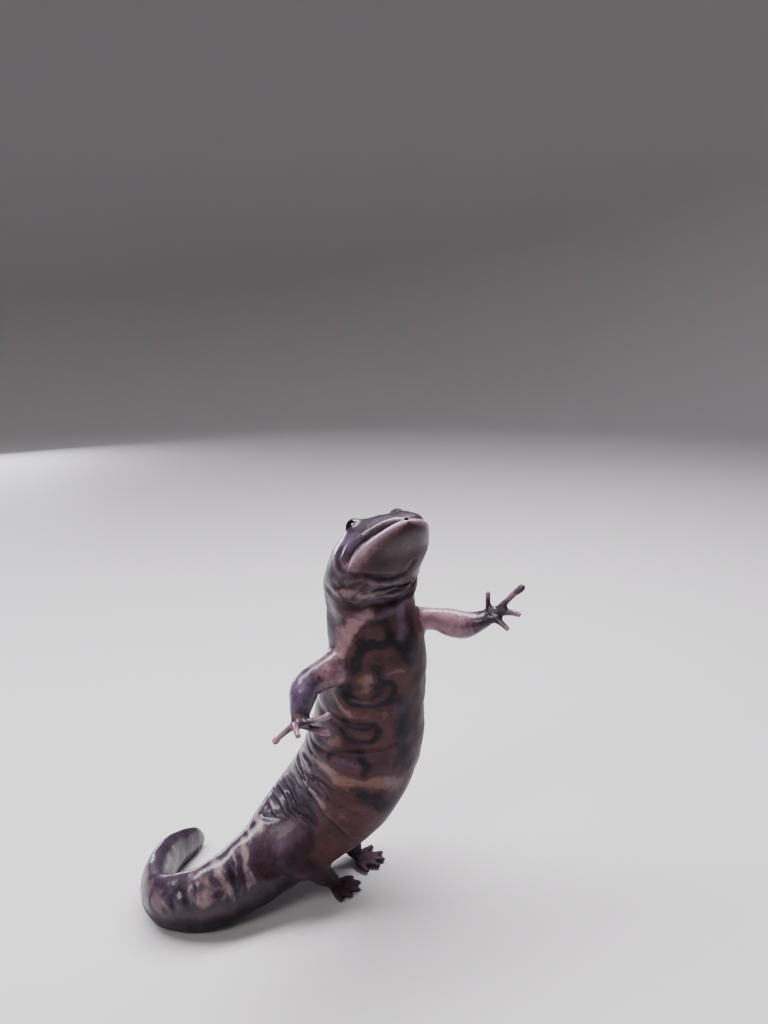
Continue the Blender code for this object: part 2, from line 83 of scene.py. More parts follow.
# Sections along the spine: centre, direction of the back, half width, height of the back above
# the centre, depth of the belly below it
SECTIONS = {
    "snout": (on_head(0), HEAD_BACK, 12.2, 8.6, 5.2),
    "face": (on_head(9), HEAD_BACK, 12.1, 8.9, 5.6),
    "nape": (on_head(17), HEAD_BACK, 11.8, 9.0, 6.8),
    "neck": ((-3.0, -9.3, 78.8), (-0.67, 0.72, 0.2), 10.9, 9.1, 8.6),
    "shoulders": ((-2.0, -6.3, 67.0), (-0.67, 0.74, 0.05), 12.6, 9.8, 11.0),
    "ribs": ((-3.4, -3.6, 53.0), (-0.70, 0.70, 0.0), 14.0, 11.4, 12.6),
    "belly": ((-5.6, -1.2, 39.0), (-0.78, 0.60, 0.1), 16.0, 13.0, 14.0),
    "loin": ((-10.2, -0.8, 27.2), (-0.82, 0.46, 0.3), 14.4, 14.8, 13.6),
    "hips": ((-17.6, -2.8, 17.4), (-0.76, 0.24, 0.6), 10.8, 14.6, 10.4),
    "vent": ((-26.0, -8.2, 11.9), (-0.45, 0.05, 0.9), 8.4, 13.0, 7.6),
    "rump": ((-35.0, -14.6, 9.4), (-0.15, 0.0, 1.0), 7.0, 10.2, 7.8),
    "thick tail": ((-44.2, -19.4, 7.8), (0.0, 0.0, 1.0), 5.8, 8.0, 8.0),
    "turn": ((-52.6, -18.2, 6.6), (0.0, 0.0, 1.0), 4.9, 6.6, 6.85),
    "far turn": ((-56.8, -10.6, 5.6), (0.0, 0.0, 1.0), 4.1, 6.8, 5.85),
    "back turn": ((-57.0, -1.2, 4.8), (0.0, 0.0, 1.0), 3.4, 7.0, 5.05),
    "thin tail": ((-54.2, 7.8, 3.6), (0.0, 0.0, 1.0), 2.6, 5.6, 3.85),
    "tip": ((-50.4, 15.6, 2.0), (0.0, 0.0, 1.0), 1.5, 3.0, 2.2),
}
# How square the sections are, from 2 for an ellipse, by distance behind the snout
SQUARENESS = ((0, 2.6), (20, 2.35), (35, 2.1), (60, 2.15), (110, 2.0), (140, 1.8))
MUZZLE_LENGTH = 15.0
TAIL_END_LENGTH = 5.0

# Face
EYE_BEHIND_SNOUT = 7.2
EYE_ASIDE = 6.6
EYE_ABOVE_MOUTH = 6.1
EYE_RADIUS = 1.7
BROW_HEIGHT = 0.9
BROW_WIDTH = 3.6
SOCKET_CLEARANCE = 0.05
LID_THICKNESS = 0.5
LID_OPENING = (1.42, 0.98, 1.6)
LID_OPENING_OUT = 1.8
EYE_LOOK = (0.3, 1.0, 0.45)
MOUTH_CORNER = 13.0
MOUTH_GROOVE_DEPTH = 0.7
LIP_HEIGHT = 0.6
LIP_CREST = 1.4
LOWER_LIP_WIDTH = 1.1
UPPER_LIP_WIDTH = 1.4
MOUTH_BOW = 0.075
NOSTRIL_BEHIND_SNOUT = 0.9
NOSTRIL_ASIDE = 3.7
NOSTRIL_ABOVE_MOUTH = 3.4
NOSTRIL_RADIUS = 0.42

# Folds and grooves: distance behind the snout, height (grooves are negative), half width
THROAT_FOLDS = ((19.6, -0.45, 1.1), (22.3, 0.3, 1.5), (25.5, -0.15, 1.3))
COSTAL_GROOVES = 12
FIRST_GROOVE = 45.0
GROOVE_SPACING = 4.2
GROOVE_DEPTH = 0.25
GROOVE_HALF_WIDTH = 0.8

# Limbs: each is one tube or two that meet at the knee. A tube is places along it from its root,
# with half widths across and through it. The first place lies well inside the body.
ARM_RIGHT = ((
    ((-2.6, -6.6, 67.8), 5.6, 5.8),
    ((-7.6, -11.6, 66.2), 4.9, 5.0),
    ((-13.2, -16.2, 64.7), 3.8, 3.9),
    ((-17.6, -19.4, 62.8), 3.2, 3.2),
    ((-18.6, -21.4, 60.0), 3.2, 3.0),
    ((-18.9, -22.8, 57.6), 2.3, 2.0),
    ((-19.2, -24.0, 55.8), 3.1, 1.5),
),)
FINGERS_RIGHT = (
    ((-19.8, -24.0, 55.8), (-22.4, -25.0, 54.2), (-24.8, -25.4, 51.8)),
    ((-19.4, -24.0, 55.8), (-19.4, -27.4, 56.4), (-18.6, -29.6, 55.4)),
    ((-18.9, -24.1, 55.9), (-14.8, -25.6, 57.6), (-11.7, -25.6, 59.0)),
    ((-18.8, -23.9, 55.5), (-15.0, -23.4, 54.0), (-12.0, -23.2, 53.2)),
)
ARM_LEFT = ((
    ((0.0, -5.5, 71.0), 5.6, 5.8),
    ((5.4, -4.2, 72.8), 4.6, 4.6),
    ((11.0, -2.8, 73.2), 2.9, 2.8),
    ((15.6, -2.6, 72.2), 3.3, 3.2),
    ((19.6, -3.2, 71.8), 3.4, 3.3),
    ((23.0, -4.0, 72.8), 2.8, 2.5),
    ((25.8, -4.6, 74.8), 3.3, 1.6),
),)
FINGERS_LEFT = (
    ((25.4, -4.5, 74.8), (25.0, -3.8, 77.6), (25.0, -3.2, 80.2)),
    ((25.7, -4.7, 75.0), (30.0, -5.4, 79.2), (33.2, -6.0, 82.6)),
    ((25.9, -4.8, 74.9), (29.6, -6.2, 76.0), (32.6, -7.0, 75.6)),
    ((25.6, -4.8, 74.6), (27.8, -6.8, 73.6), (29.6, -8.4, 72.4)),
)
LEG_RIGHT = (
    (
        ((-15.0, -2.0, 17.0), 7.0, 6.6),
        ((-20.4, -8.8, 18.4), 6.0, 5.7),
        ((-24.6, -13.8, 17.6), 4.9, 4.7),
        ((-26.9, -17.6, 16.2), 4.4, 4.3),
    ),
    (
        ((-24.6, -14.0, 16.8), 4.3, 4.1),
        ((-21.4, -13.4, 13.4), 4.0, 3.7),
        ((-17.8, -10.4, 9.9), 3.3, 3.1),
        ((-14.4, -7.0, 5.2), 2.7, 2.5),
        ((-12.2, -4.7, 1.8), 3.3, 1.8),
    ),
)
TOES_RIGHT = (
    ((-12.8, -5.6, 1.0), (-12.0, -8.2, 1.0), (-10.6, -10.4, 0.8)),
    ((-12.6, -5.4, 1.0), (-10.2, -7.2, 1.0), (-8.0, -8.8, 0.8)),
    ((-12.4, -5.0, 1.0), (-9.0, -5.4, 1.0), (-5.8, -6.0, 0.8)),
    ((-12.4, -4.6, 1.0), (-9.0, -3.4, 1.0), (-6.0, -3.0, 0.8)),
    ((-12.6, -4.2, 1.0), (-10.4, -1.8, 1.0), (-8.0, -0.6, 0.8)),
)
LEG_LEFT = (
    (
        ((-15.0, 0.5, 17.0), 6.8, 6.6),
        ((-11.4, 7.4, 16.0), 5.7, 5.6),
        ((-7.8, 11.8, 13.0), 4.8, 4.6),
        ((-5.4, 14.8, 10.8), 4.3, 4.2),
    ),
    (
        ((-7.8, 11.8, 12.2), 4.2, 4.0),
        ((-8.8, 10.6, 8.2), 3.8, 3.6),
        ((-9.0, 8.6, 4.8), 3.1, 2.9),
        ((-7.1, 6.8, 1.8), 3.3, 1.8),
    ),
)
TOES_LEFT = (
    ((-7.4, 6.2, 1.0), (-6.2, 3.6, 1.0), (-4.0, 1.8, 0.8)),
    ((-7.2, 6.5, 1.0), (-4.0, 5.0, 1.0), (-1.0, 4.2, 0.8)),
    ((-7.0, 6.8, 1.0), (-3.0, 7.1, 1.0), (0.2, 7.3, 0.8)),
    ((-7.2, 7.2, 1.0), (-3.2, 9.1, 1.0), (-0.2, 10.4, 0.8)),
    ((-7.4, 7.6, 1.0), (-5.4, 10.8, 1.0), (-3.0, 13.0, 0.8)),
)
FINGER_SIZES = ((1.3, 1.15), (1.12, 0.95), (0.85, 0.75))
TOE_SIZES = ((1.5, 1.25), (1.35, 1.1), (1.1, 0.9))
# Each limb's tubes, its digits, and the direction that its hand or foot is flat across
LIMBS = {
    "arm_right": (ARM_RIGHT, FINGERS_RIGHT, (-0.25, -0.35, 1.0)),
    "arm_left": (ARM_LEFT, FINGERS_LEFT, (-0.6, -0.3, 1.0)),
    "leg_right": (LEG_RIGHT, TOES_RIGHT, (0.1, 0.1, 1.0)),
    "leg_left": (LEG_LEFT, TOES_LEFT, (0.1, 0.1, 1.0)),
}

# Grid of the skin: rows per stretch of the body as (end of the stretch, spacing), and columns
ROW_STRETCHES = ((34.0, 0.28), (108.0, 0.42), (138.0, 0.34), (172.0, 0.55))
BODY_COLUMNS = 144
LIMB_COLUMNS = 56
LIMB_ROW_SPACING = 0.42
DIGIT_COLUMNS = 18
DIGIT_ROW_SPACING = 0.35

# Marks and folds drawn on the body: name, half width, value, and a chain of places as (distance behind the snout,
# angle in degrees round the body from the left mouth line over the back). The value is lightness from -1 dark to 1
# tan, greyness, or height in millimetres.
PALE_STROKES = (
    ("start of the shoulder band", 1.8, 0.5, ((21.5, 224), (23.4, 217), (26.1, 208))),
    ("shoulder band", 2.3, 0.68, ((26.1, 208), (30.6, 197), (35.4, 182))),
    ("olive oval", 1.8, 0.65, ((40.8, 205), (40.8, 214), (40.2, 221))),
    ("lines in the oval", 0.4, 0.35, ((43.2, 205), (43.2, 215), (42.6, 222))),
    ("tan line beside the loop", 0.6, 0.65, ((46.2, 180), (48.3, 186), (49.8, 195), (50.4, 203))),
    ("pink line on the chest", 0.5, 0.5, ((39.0, 245), (39.0, 257), (39.9, 278))),
    ("mauve patch", 1.6, 0.3, ((40.8, 254), (41.4, 270))),
    ("brown oval", 1.5, 0.3, ((50.4, 207), (49.8, 220), (49.2, 238))),
    ("olive patch under the hand", 1.6, 0.48, ((58.2, 183), (58.5, 193), (59.4, 203))),
    ("olive column", 1.3, 0.12, ((48.9, 241), (56.1, 242), (62.7, 239))),
    ("olive band", 1.9, 0.85, ((67.9, 182), (69.6, 194), (69.6, 210), (68.1, 234), (69.0, 264))),
    ("flank bar", 0.9, 1.0, ((79.9, 159), (80.1, 173), (81.9, 185))),
    ("flank streak", 0.7, 0.45, ((78.9, 121), (83.6, 125))),
    ("flank streak", 0.7, 0.5, ((71.4, 154), (72.4, 167))),
    ("lower belly", 3.6, 0.15, ((81.3, 201), (79.5, 220), (79.5, 245))),
    ("chest brown", 2.0, 0.15, ((32.7, 218), (34.8, 229))),
    ("neck blotch", 0.9, 0.75, ((16.3, 193), (16.2, 205))),
    ("neck blotch", 0.7, 0.7, ((16.8, 213), (16.8, 226))),
    ("throat ridge", 0.6, 0.4, ((12.7, 212), (13.5, 249))),
    ("throat ridge", 0.6, 0.4, ((20.6, 286), (24.9, 309))),
    ("cheek", 0.9, 0.5, ((11.6, 178), (11.3, 187))),
    ("corner of the mouth", 1.1, 0.4, ((7.0, 183), (5.9, 183), (4.8, 187))),
    ("tail bar", 0.85, 0.9, ((104.1, 88), (108.0, 108), (110.1, 129), (111.3, 158))),
    ("tail bar", 0.5, 0.5, ((109.2, 85), (111.9, 109))),
    ("tail bar", 0.75, 0.75, ((112.8, 96), (114.6, 123), (115.5, 161))),
    ("tail bar", 0.5, 0.55, ((115.8, 96), (117.6, 123), (118.2, 144))),
    ("tail bar", 0.9, 0.7, ((121.2, 100), (121.5, 127), (121.2, 152))),
    ("tail patch", 1.4, 0.42, ((127.2, 101), (126.6, 123), (126.2, 148))),
    ("tail patch", 1.2, 0.42, ((124.2, 101), (124.3, 126), (124.3, 149))),
    ("tail patch", 2.1, 0.35, ((137.1, 119), (134.4, 128), (132.9, 140))),
    ("far tail bar", 0.9, 0.25, ((157.2, 74), (151.2, 62), (141.0, 69))),
    ("far tail bar", 0.8, 0.15, ((151.5, 95), (145.8, 98), (141.9, 107))),
)
DARK_STROKES = (
    ("behind the eye", 1.3, -0.6, ((11.0, 158), (9.6, 168), (11.0, 172))),
    ("chest ring", 1.2, -0.8, (
        (29.4, 214), (25.8, 216), (24.6, 229), (25.5, 248),
        (29.7, 259), (31.8, 252), (31.5, 237), (30.9, 223))),
    ("stripe inside the arm", 1.7, -1.0, ((31.5, 215), (34.5, 206), (37.8, 201), (42.6, 196))),
    ("chest blotch", 2.2, -0.75, ((34.5, 266), (36.3, 276))),
    # A dark mark, made darker as painted shade on the far side of the chest.
    ("far chest", 1.3, -0.5, ((25.8, 297), (31.2, 298), (34.5, 287))),
    ("swirl", 1.1, -0.85, ((36.6, 227), (38.1, 234), (40.8, 239), (42.6, 233))),
    ("above the pink line", 1.0, -0.4, ((36.0, 243), (37.2, 255))),
    ("loop", 0.85, -0.95, (
        (45.3, 182), (45.9, 196), (47.7, 207), (47.7, 218),
        (47.1, 233), (45.9, 246), (43.2, 252), (40.8, 247))),
    ("line in the loop", 0.6, -0.7, ((44.4, 197), (45.6, 209), (45.3, 220), (43.8, 233))),
    ("belly ring", 0.85, -0.9, (
        (52.5, 199), (53.1, 207), (52.5, 218), (51.9, 229), (54.0, 235),
        (56.1, 230), (57.0, 218), (56.7, 206), (55.2, 199))),
    # A dark mark, made darker as painted shade on the far side of the belly.
    ("belly stripe", 1.8, -0.75, ((47.4, 261), (53.7, 266), (58.8, 260), (63.9, 257))),
    ("arc over the oval", 0.85, -0.9, (
        (63.9, 186), (61.5, 192), (59.4, 203),
        (59.7, 215), (62.7, 223), (66.3, 220))),
    ("belly blotch", 1.9, -1.2, ((71.4, 222), (72.9, 232), (75.3, 249), (75.0, 261))),
    ("beside the blotch", 0.8, -0.5, ((72.9, 257), (71.4, 264))),
    ("far belly", 1.2, -0.4, ((66.0, 266), (62.4, 272))),
    # Painted shade over the far side of the chest and belly.
    ("painted shade of the far side", 4.0, -0.5, ((34.0, 291), (46.0, 286), (60.0, 284), (72.0, 280))),
    ("under the hand", 1.3, -0.6, ((54.0, 172), (55.8, 178), (60.6, 172))),
    ("flank line", 0.8, -0.6, ((79.5, 148), (81.0, 164), (83.6, 175))),
    ("flank line", 1.3, -0.35, ((70.5, 187), (74.6, 192), (79.5, 196))),
    # Painted shade: these two darken the gular fold and the throat crease that FOLD_STROKES cut.
    ("gular fold", 0.65, -0.4, ((18.2, 186), (18.9, 203), (20.1, 229), (20.7, 266), (22.5, 311))),
    ("throat crease", 0.7, -0.6, ((16.5, 180), (15.3, 192), (13.8, 201))),
    ("tail gap", 1.0, -0.6, ((130.2, 111), (128.8, 136), (127.7, 160))),
    ("tail gap", 0.8, -0.6, ((118.5, 107), (119.7, 134), (119.7, 156))),
    ("tail gap", 0.9, -0.6, ((108.4, 97), (111.3, 119), (112.5, 150))),
)
GREY_STROKES = (
    ("chest", 1.6, 0.75, ((23.1, 288), (27.4, 281), (32.4, 270))),
    ("oval", 1.3, 0.6, ((63.0, 202), (62.7, 213))),
    ("in the loop", 0.9, 0.5, ((46.5, 204), (46.5, 219))),
    ("in the ring", 1.1, 0.45, ((54.6, 208), (54.3, 223))),
    ("neck", 0.8, 0.6, ((17.7, 225), (19.8, 251))),
    ("flank", 3.0, 0.35, ((70.2, 167), (76.5, 180))),
    ("behind the arm", 1.5, 0.45, ((25.2, 178), (29.4, 173))),
    # A painted violet sheen on the temple.
    ("painted sheen on the temple", 1.8, 0.7, ((8.9, 156), (6.7, 170))),
    ("chin", 1.2, 0.15, ((9.9, 206), (9.5, 228))),
)
FOLD_STROKES = (
    ("chin's edge", 0.6, -0.75, (
        (15.0, 188), (12.3, 192), (11.3, 202), (11.6, 225),
        (12.3, 260), (12.0, 298), (9.5, 308))),
    ("throat crease", 0.5, -0.55, ((16.5, 183), (15.6, 192), (14.6, 199), (13.1, 205), (11.6, 207))),
    ("throat ridge", 0.6, 0.4, ((12.0, 211), (12.7, 227), (14.2, 255))),
    ("slanting crease", 0.4, -0.5, ((17.7, 205), (15.3, 210), (13.5, 211))),
    ("slanting ridge", 0.65, 0.45, ((18.6, 208), (16.8, 214), (14.6, 218), (13.1, 223))),
    ("crease under the ridge", 0.45, -0.5, ((15.0, 225), (15.0, 244), (15.6, 278), (17.0, 308))),
    ("ridge over the fold", 0.8, 0.35, ((17.7, 248), (18.4, 282), (20.4, 311))),
    ("gular fold", 0.7, -0.4, (
        (18.6, 175), (18.9, 190), (19.8, 204), (20.1, 221),
        (20.1, 245), (21.0, 274), (21.4, 308))),
    ("ridge under the fold", 1.2, 0.4, ((21.6, 199), (21.6, 217), (21.9, 242), (22.5, 273))),
    ("short chest crease", 0.4, -0.3, ((21.0, 270), (24.9, 267))),
    ("cheek ridge", 0.7, 0.35, ((13.4, 172), (13.4, 182), (13.1, 190))),
    ("flank ridge", 0.5, 0.45, ((90.0, 105), (90.4, 126), (94.5, 141))),
    ("flank ridge", 0.5, 0.45, ((94.1, 99), (95.4, 120), (97.1, 134))),
    ("flank ridge", 0.45, 0.4, ((98.1, 99), (99.9, 113))),
    ("flank ridge", 0.5, 0.45, ((85.9, 120), (86.4, 139), (88.5, 151))),
    ("flank crease", 0.45, -0.4, ((91.9, 103), (92.6, 124), (95.4, 139))),
    ("flank crease", 0.45, -0.4, ((87.9, 116), (88.5, 133), (90.4, 146))),
    ("flank ridge", 0.6, 0.4, ((71.1, 149), (71.1, 164), (73.5, 170))),
    ("flank crease", 0.6, -0.4, ((75.6, 136), (76.5, 155), (80.0, 164))),
    ("flank ridge", 0.8, 0.3, ((78.0, 166), (80.4, 175), (82.2, 185))),
    ("flank crease", 0.6, -0.35, ((73.9, 174), (75.9, 183), (78.4, 190))),
    ("crease over the thigh", 0.7, -0.5, ((103.8, 102), (101.4, 117), (98.4, 141), (96.9, 167))),
    ("belly crease", 0.6, -0.3, ((51.9, 183), (51.9, 201), (51.6, 228))),
    ("belly crease", 0.5, -0.25, ((59.1, 203), (58.2, 227), (57.9, 253))),
    ("groin crease", 0.6, -0.4, ((84.6, 182), (85.5, 198), (86.7, 220))),
)
# Tan bars round the tail where no stroke is drawn: distance, half length, lightness
TAIL_BARS = (
    (100.5, 0.7, 0.5),
    (106.2, 0.8, 0.6),
    (111.1, 0.75, 0.9),
    (116.0, 0.6, 0.6),
    (120.6, 0.9, 1.0),
    (126.0, 1.6, 0.55),
    (133.5, 1.7, 0.6),
    (140.0, 0.9, 0.4),
    (145.5, 1.2, 0.35),
    (152.3, 1.0, 0.35),
    (158.0, 1.1, 0.35),
    (164.5, 0.9, 0.35),
)
# Tones along each limb, from its root at 0 to the wrist or ankle at 0.9 and the tips at 2:
# (place, lightness, greyness, pinkness)
LIMB_TONES = {
    "arm_right": (
        (0, 0.45, 0, 0.9), (0.5, 0.45, 0, 0.9), (0.6, 0.2, 0.5, 0.6), (0.68, 0.05, 0.9, 0.3),
        (0.77, 0.15, 0.6, 0.6), (0.86, 0.3, 0.1, 0.9), (1.3, 0.2, 0.3, 0.9), (1.6, 0.5, 0.35, 0.9), (2, 0.9, 0.3, 1)),
    "arm_left": (
        (0, 0.45, 0.3, 0.8), (0.25, 0.75, 0.25, 1), (0.62, 0.7, 0.3, 1), (0.84, 0.05, 0.2, 0.8),
        (1.4, 0.1, 0.2, 1), (2, 0.75, 0.2, 1)),
    "leg_right": (
        (0, -0.3, 0.1, 0), (0.2, -0.45, 0.12, 0), (0.45, -0.45, 0.05, 0), (0.9, -0.45, 0, 0),
        (1.5, -0.4, 0, 0.3), (2, -0.1, 0.3, 0.5)),
    "leg_left": (
        (0, -0.2, 0, 0), (0.45, -0.35, 0.1, 0), (0.9, -0.4, 0.1, 0), (1.5, -0.3, 0.15, 0.4), (2, 0, 0.3, 0.6)),
}


def smooth_curve(x, knots, values):
    """Cubic pieces through the values at the knots, with slopes from the neighbours on each side."""
    x = np.atleast_1d(np.asarray(x, float))
    knots = np.asarray(knots, float)
    values = np.asarray(values, float).reshape(len(knots), -1)
    step = np.diff(knots)[:, None]
    rise = np.diff(values, axis=0) / step
    slope = np.empty_like(values)
    slope[1:-1] = (rise[:-1] * step[1:] + rise[1:] * step[:-1]) / (step[1:] + step[:-1])
    slope[0], slope[-1] = rise[0], rise[-1]
    i = np.clip(np.searchsorted(knots, x, side="right") - 1, 0, len(knots) - 2)
    t = ((x - knots[i]) / step[i, 0])[:, None]
    start = (2 * t**3 - 3 * t**2 + 1) * values[i] + (t**3 - 2 * t**2 + t) * step[i] * slope[i]
    end = (3 * t**2 - 2 * t**3) * values[i + 1] + (t**3 - t**2) * step[i] * slope[i + 1]
    return start + end


def unit(vectors):
    return vectors / np.linalg.norm(vectors, axis=-1, keepdims=True)


def run_of(places):
    """Distance along a chain of places, from its first."""
    return np.concatenate([[0.0], np.cumsum(np.linalg.norm(np.diff(places, axis=0), axis=1))])


CENTRES = np.array([row[0] for row in SECTIONS.values()])
BACKS = np.array([row[1] for row in SECTIONS.values()])
GIRTHS = np.array([row[2:] for row in SECTIONS.values()])
RUN = run_of(CENTRES)
BODY_LENGTH = RUN[-1]


def spine(u):
    """Centre, forward, left and back directions at distances u behind the snout."""
    small = 0.4
    centre = smooth_curve(u, RUN, CENTRES)
    forward = unit(smooth_curve(u - small, RUN, CENTRES) - smooth_curve(u + small, RUN, CENTRES))
    hint = smooth_curve(u, RUN, BACKS)
    back = unit(hint - (hint * forward).sum(-1, keepdims=True) * forward)
    return centre, forward, np.cross(back, forward), back


def head_place(behind_snout, aside, above_mouth):
    """A place in the head's own axes, with aside positive on the animal's left."""
    return SNOUT - behind_snout * HEAD_FORWARD + aside * HEAD_LEFT + above_mouth * HEAD_BACK


def rounded(distance, reach, power):
    """0 at the end, 1 from reach onwards, on a superellipse."""
    t = np.clip(1 - distance / reach, 0, 1)
    return (1 - t**power) ** (1 / power)


def bump(x, middle, half_width):
    """A bell: e to the minus square of the distance from the middle in half widths."""
    return np.exp(-(((x - middle) / half_width) ** 2))


def ramp(x, start, end):
    """0 before start and 1 after end, with a smooth cubic between."""
    t = np.clip((x - start) / (end - start), 0, 1)
    return t * t * (3 - 2 * t)


def ripple(places, size, stretch, seed, waves=32):
    """A smooth random field of spread 1: cosines of random direction and phase, about size long."""
    random = np.random.default_rng(seed)
    direction = unit(random.normal(size=(waves, 3)))
    number = 2 * np.pi / size * random.uniform(0.6, 1.4, (waves, 1))
    phase = random.uniform(0, 2 * np.pi, waves)
    return np.sqrt(2 / waves) * np.cos(places @ (direction * number / stretch).T + phase).sum(-1)


def raised(u, x, z):
    """How far the skin stands out from the plain oval section at (u, x, z) in the body's own axes."""
    reach = np.hypot(x, z) + 1e-6
    side = np.abs(x) / reach
    below = np.clip(-z / reach, 0, 1)
    away = np.sqrt(
        (u - EYE_BEHIND_SNOUT) ** 2 + (np.abs(x) - EYE_ASIDE) ** 2 + (z - EYE_ABOVE_MOUTH) ** 2
    )
    height = BROW_HEIGHT * np.exp(-((away / BROW_WIDTH) ** 2))
    height += 0.9 * bump(u, 16.5, 4.5) * bump(z, -0.5, 4.0) * side
    height -= 0.5 * bump(u, 6.0, 6.0) * bump(x, 0.0, 2.6) * ramp(z, -1.0, 1.0)
    for place, fold, half_width in THROAT_FOLDS:
        wander = 0.7 * np.sin(x * 0.38 + place) + 0.3 * np.sin(x * 1.1 + 2 * place)
        height += fold * bump(u, place + wander, half_width) * np.clip(below * 1.6, 0, 1)
    grooves = np.zeros_like(height)
    for count in range(COSTAL_GROOVES):
        wander = 0.5 * np.sin(z * 0.35 + 1.7 * count)
        grooves += bump(u, FIRST_GROOVE + GROOVE_SPACING * count + wander, GROOVE_HALF_WIDTH)
    return height - GROOVE_DEPTH * grooves * np.clip(2.2 * side - 1.0, 0, 1)


def mouth_line(u, turn):
    """Groove of the mouth and its lips. turn is the angle from the line of the mouth."""
    along = np.clip((MOUTH_CORNER - u) / 1.5, 0, 1)
    off = np.minimum(np.abs(turn), np.abs(np.abs(turn) - np.pi))
    arc = off * np.maximum(12.0 * rounded(u, MUZZLE_LENGTH, 2.2), 1.0)
    groove = -MOUTH_GROOVE_DEPTH * np.exp(-((arc / 0.34) ** 2)) * (0.2 + 0.8 * ramp(MOUTH_CORNER - u, 1.0, 7.0))
    above = (turn > 0) & (turn < np.pi)
    lips = LIP_HEIGHT * bump(arc, LIP_CREST, np.where(above, UPPER_LIP_WIDTH, LOWER_LIP_WIDTH))
    return along * (groove + lips) * rounded(u, 1.5, 2.0)


def body_surface(u, turn):
    """Points of the body at distances u (rows) and angles turn (columns).

    The angle runs from the left side's mouth line over the back (90 degrees) and the right side
    round to the belly (270). Across is the cosine and up the sine of the angle, each to a power
    that squares the oval, times the half width and the height or depth, pushed out by raised().
    """
    centre, _, left, back = spine(u)
    girth = smooth_curve(u, RUN, GIRTHS)
    girth[:, 0] *= rounded(u, MUZZLE_LENGTH, 2.2)
    girth[:, 1] *= rounded(u, MUZZLE_LENGTH, 2.0)
    girth[:, 2] *= rounded(u, MUZZLE_LENGTH + 1.0, 2.1)
    girth *= rounded(BODY_LENGTH - u, TAIL_END_LENGTH, 2.0)[:, None]
    droop = 0.16 * np.clip((u - 9.0) / 6.0, 0, 1) * np.clip((24.0 - u) / 6.0, 0, 1)
    droop -= MOUTH_BOW * bump(u, 6.5, 3.5)
    angle = turn[None, :] - droop[:, None] * np.cos(turn)[None, :]
    power = 2 / np.interp(u, *np.transpose(SQUARENESS))[:, None]
    across = np.sign(np.cos(angle)) * np.abs(np.cos(angle)) ** power * girth[:, :1]
    tall = np.where(np.sin(angle) > 0, girth[:, 1:2], girth[:, 2:])
    up = np.sign(np.sin(angle)) * np.abs(np.sin(angle)) ** power * tall
    reach = np.hypot(across, up) + 1e-9
    out = raised(u[:, None], across, up) * np.clip(reach / 2.0, 0, 1)
    signed = (turn + np.pi) % (2 * np.pi) - np.pi
    out = out + mouth_line(u[:, None], signed[None, :])
    across = across * (1 + out / reach)
    up = up * (1 + out / reach)
    return centre[:, None] + left[:, None] * across[..., None] + back[:, None] * up[..., None]


def tube_faces(rows, columns):
    """Quads between the rings of a tube, and the two fans that close it."""
    row, column = np.meshgrid(np.arange(rows - 1), np.arange(columns), indexing="ij")
    here = row * columns + column
    beside = row * columns + (column + 1) % columns
    quads = np.stack([here, here + columns, beside + columns, beside], axis=-1).reshape(-1, 4)
    side = np.arange(columns)
    after = (side + 1) % columns
    first = np.stack([np.full(columns, rows * columns), side, after], axis=1)
    last_row = (rows - 1) * columns
    last = np.stack([np.full(columns, rows * columns + 1), last_row + after, last_row + side], axis=1)
    return quads.tolist() + first.tolist() + last.tolist()


def object_of(name, points, faces):
    """An object from points and faces, in the units of the points."""
    mesh = bpy.data.meshes.new(name)
    mesh.from_pydata(points, [], faces)
    obj = bpy.data.objects.new(name, mesh)
    bpy.context.scene.collection.objects.link(obj)
    return obj


def tube_object(name, rings, start, end):
    points = np.concatenate([rings.reshape(-1, 3), [start, end]])
    return object_of(name, points, tube_faces(*rings.shape[:2]))


def body_object():
    """The body's grid, with its rows closest at the snout and its columns closest at the mouth."""
    rows = [MUZZLE_LENGTH * np.linspace(0.03, 1.0, 74) ** 2.0]
    start = MUZZLE_LENGTH
    for end, spacing in ROW_STRETCHES:
        rows.append(np.arange(start + spacing, end, spacing))
        start = end
    rows.append(BODY_LENGTH - np.array([0.3, 0.12, 0.03]))
    u = np.concatenate(rows)
    u = np.unique(u[u < BODY_LENGTH - 0.02])
    even = np.linspace(0, 2 * np.pi, BODY_COLUMNS, endpoint=False)
    turn = even - 0.22 * np.sin(2 * even)
    rings = body_surface(u, turn)
    return tube_object("body", rings, SNOUT, spine(np.array([BODY_LENGTH]))[0][0])


def limb_rings(places, sizes, flat, columns, spacing):
    """A tube along a smooth curve through the places, rounded off at its far end.

    A ring is the centre plus the cosine times the half width across and the sine times the half
    thickness, and the far end shrinks as the cosine of its lift.
    """
    places = np.array(places)
    run = run_of(places)
    tip = float(np.mean(sizes[-1]))
    lift = np.radians(np.linspace(12, 84, 9))
    rows = max(int((run[-1] - tip) / spacing), 6)
    along = np.concatenate([np.linspace(0, run[-1] - tip, rows), run[-1] - tip + tip * np.sin(lift)])
    shrink = np.concatenate([np.ones(rows), np.cos(lift)])[:, None]
    centre = smooth_curve(along, run, places)
    half = smooth_curve(along, run, sizes) * shrink
    forward = unit(np.gradient(centre, along, axis=0))
    thin = np.asarray(flat, float)
    thin = unit(thin - (forward @ thin)[:, None] * forward)
    wide = np.cross(forward, thin)
    angle = np.linspace(0, 2 * np.pi, columns, endpoint=False)
    rings = centre[:, None] + wide[:, None] * (np.cos(angle)[:, None] * half[:, None, :1])
    rings = rings + thin[:, None] * (np.sin(angle)[:, None] * half[:, None, 1:])
    return rings, centre[0], places[-1]


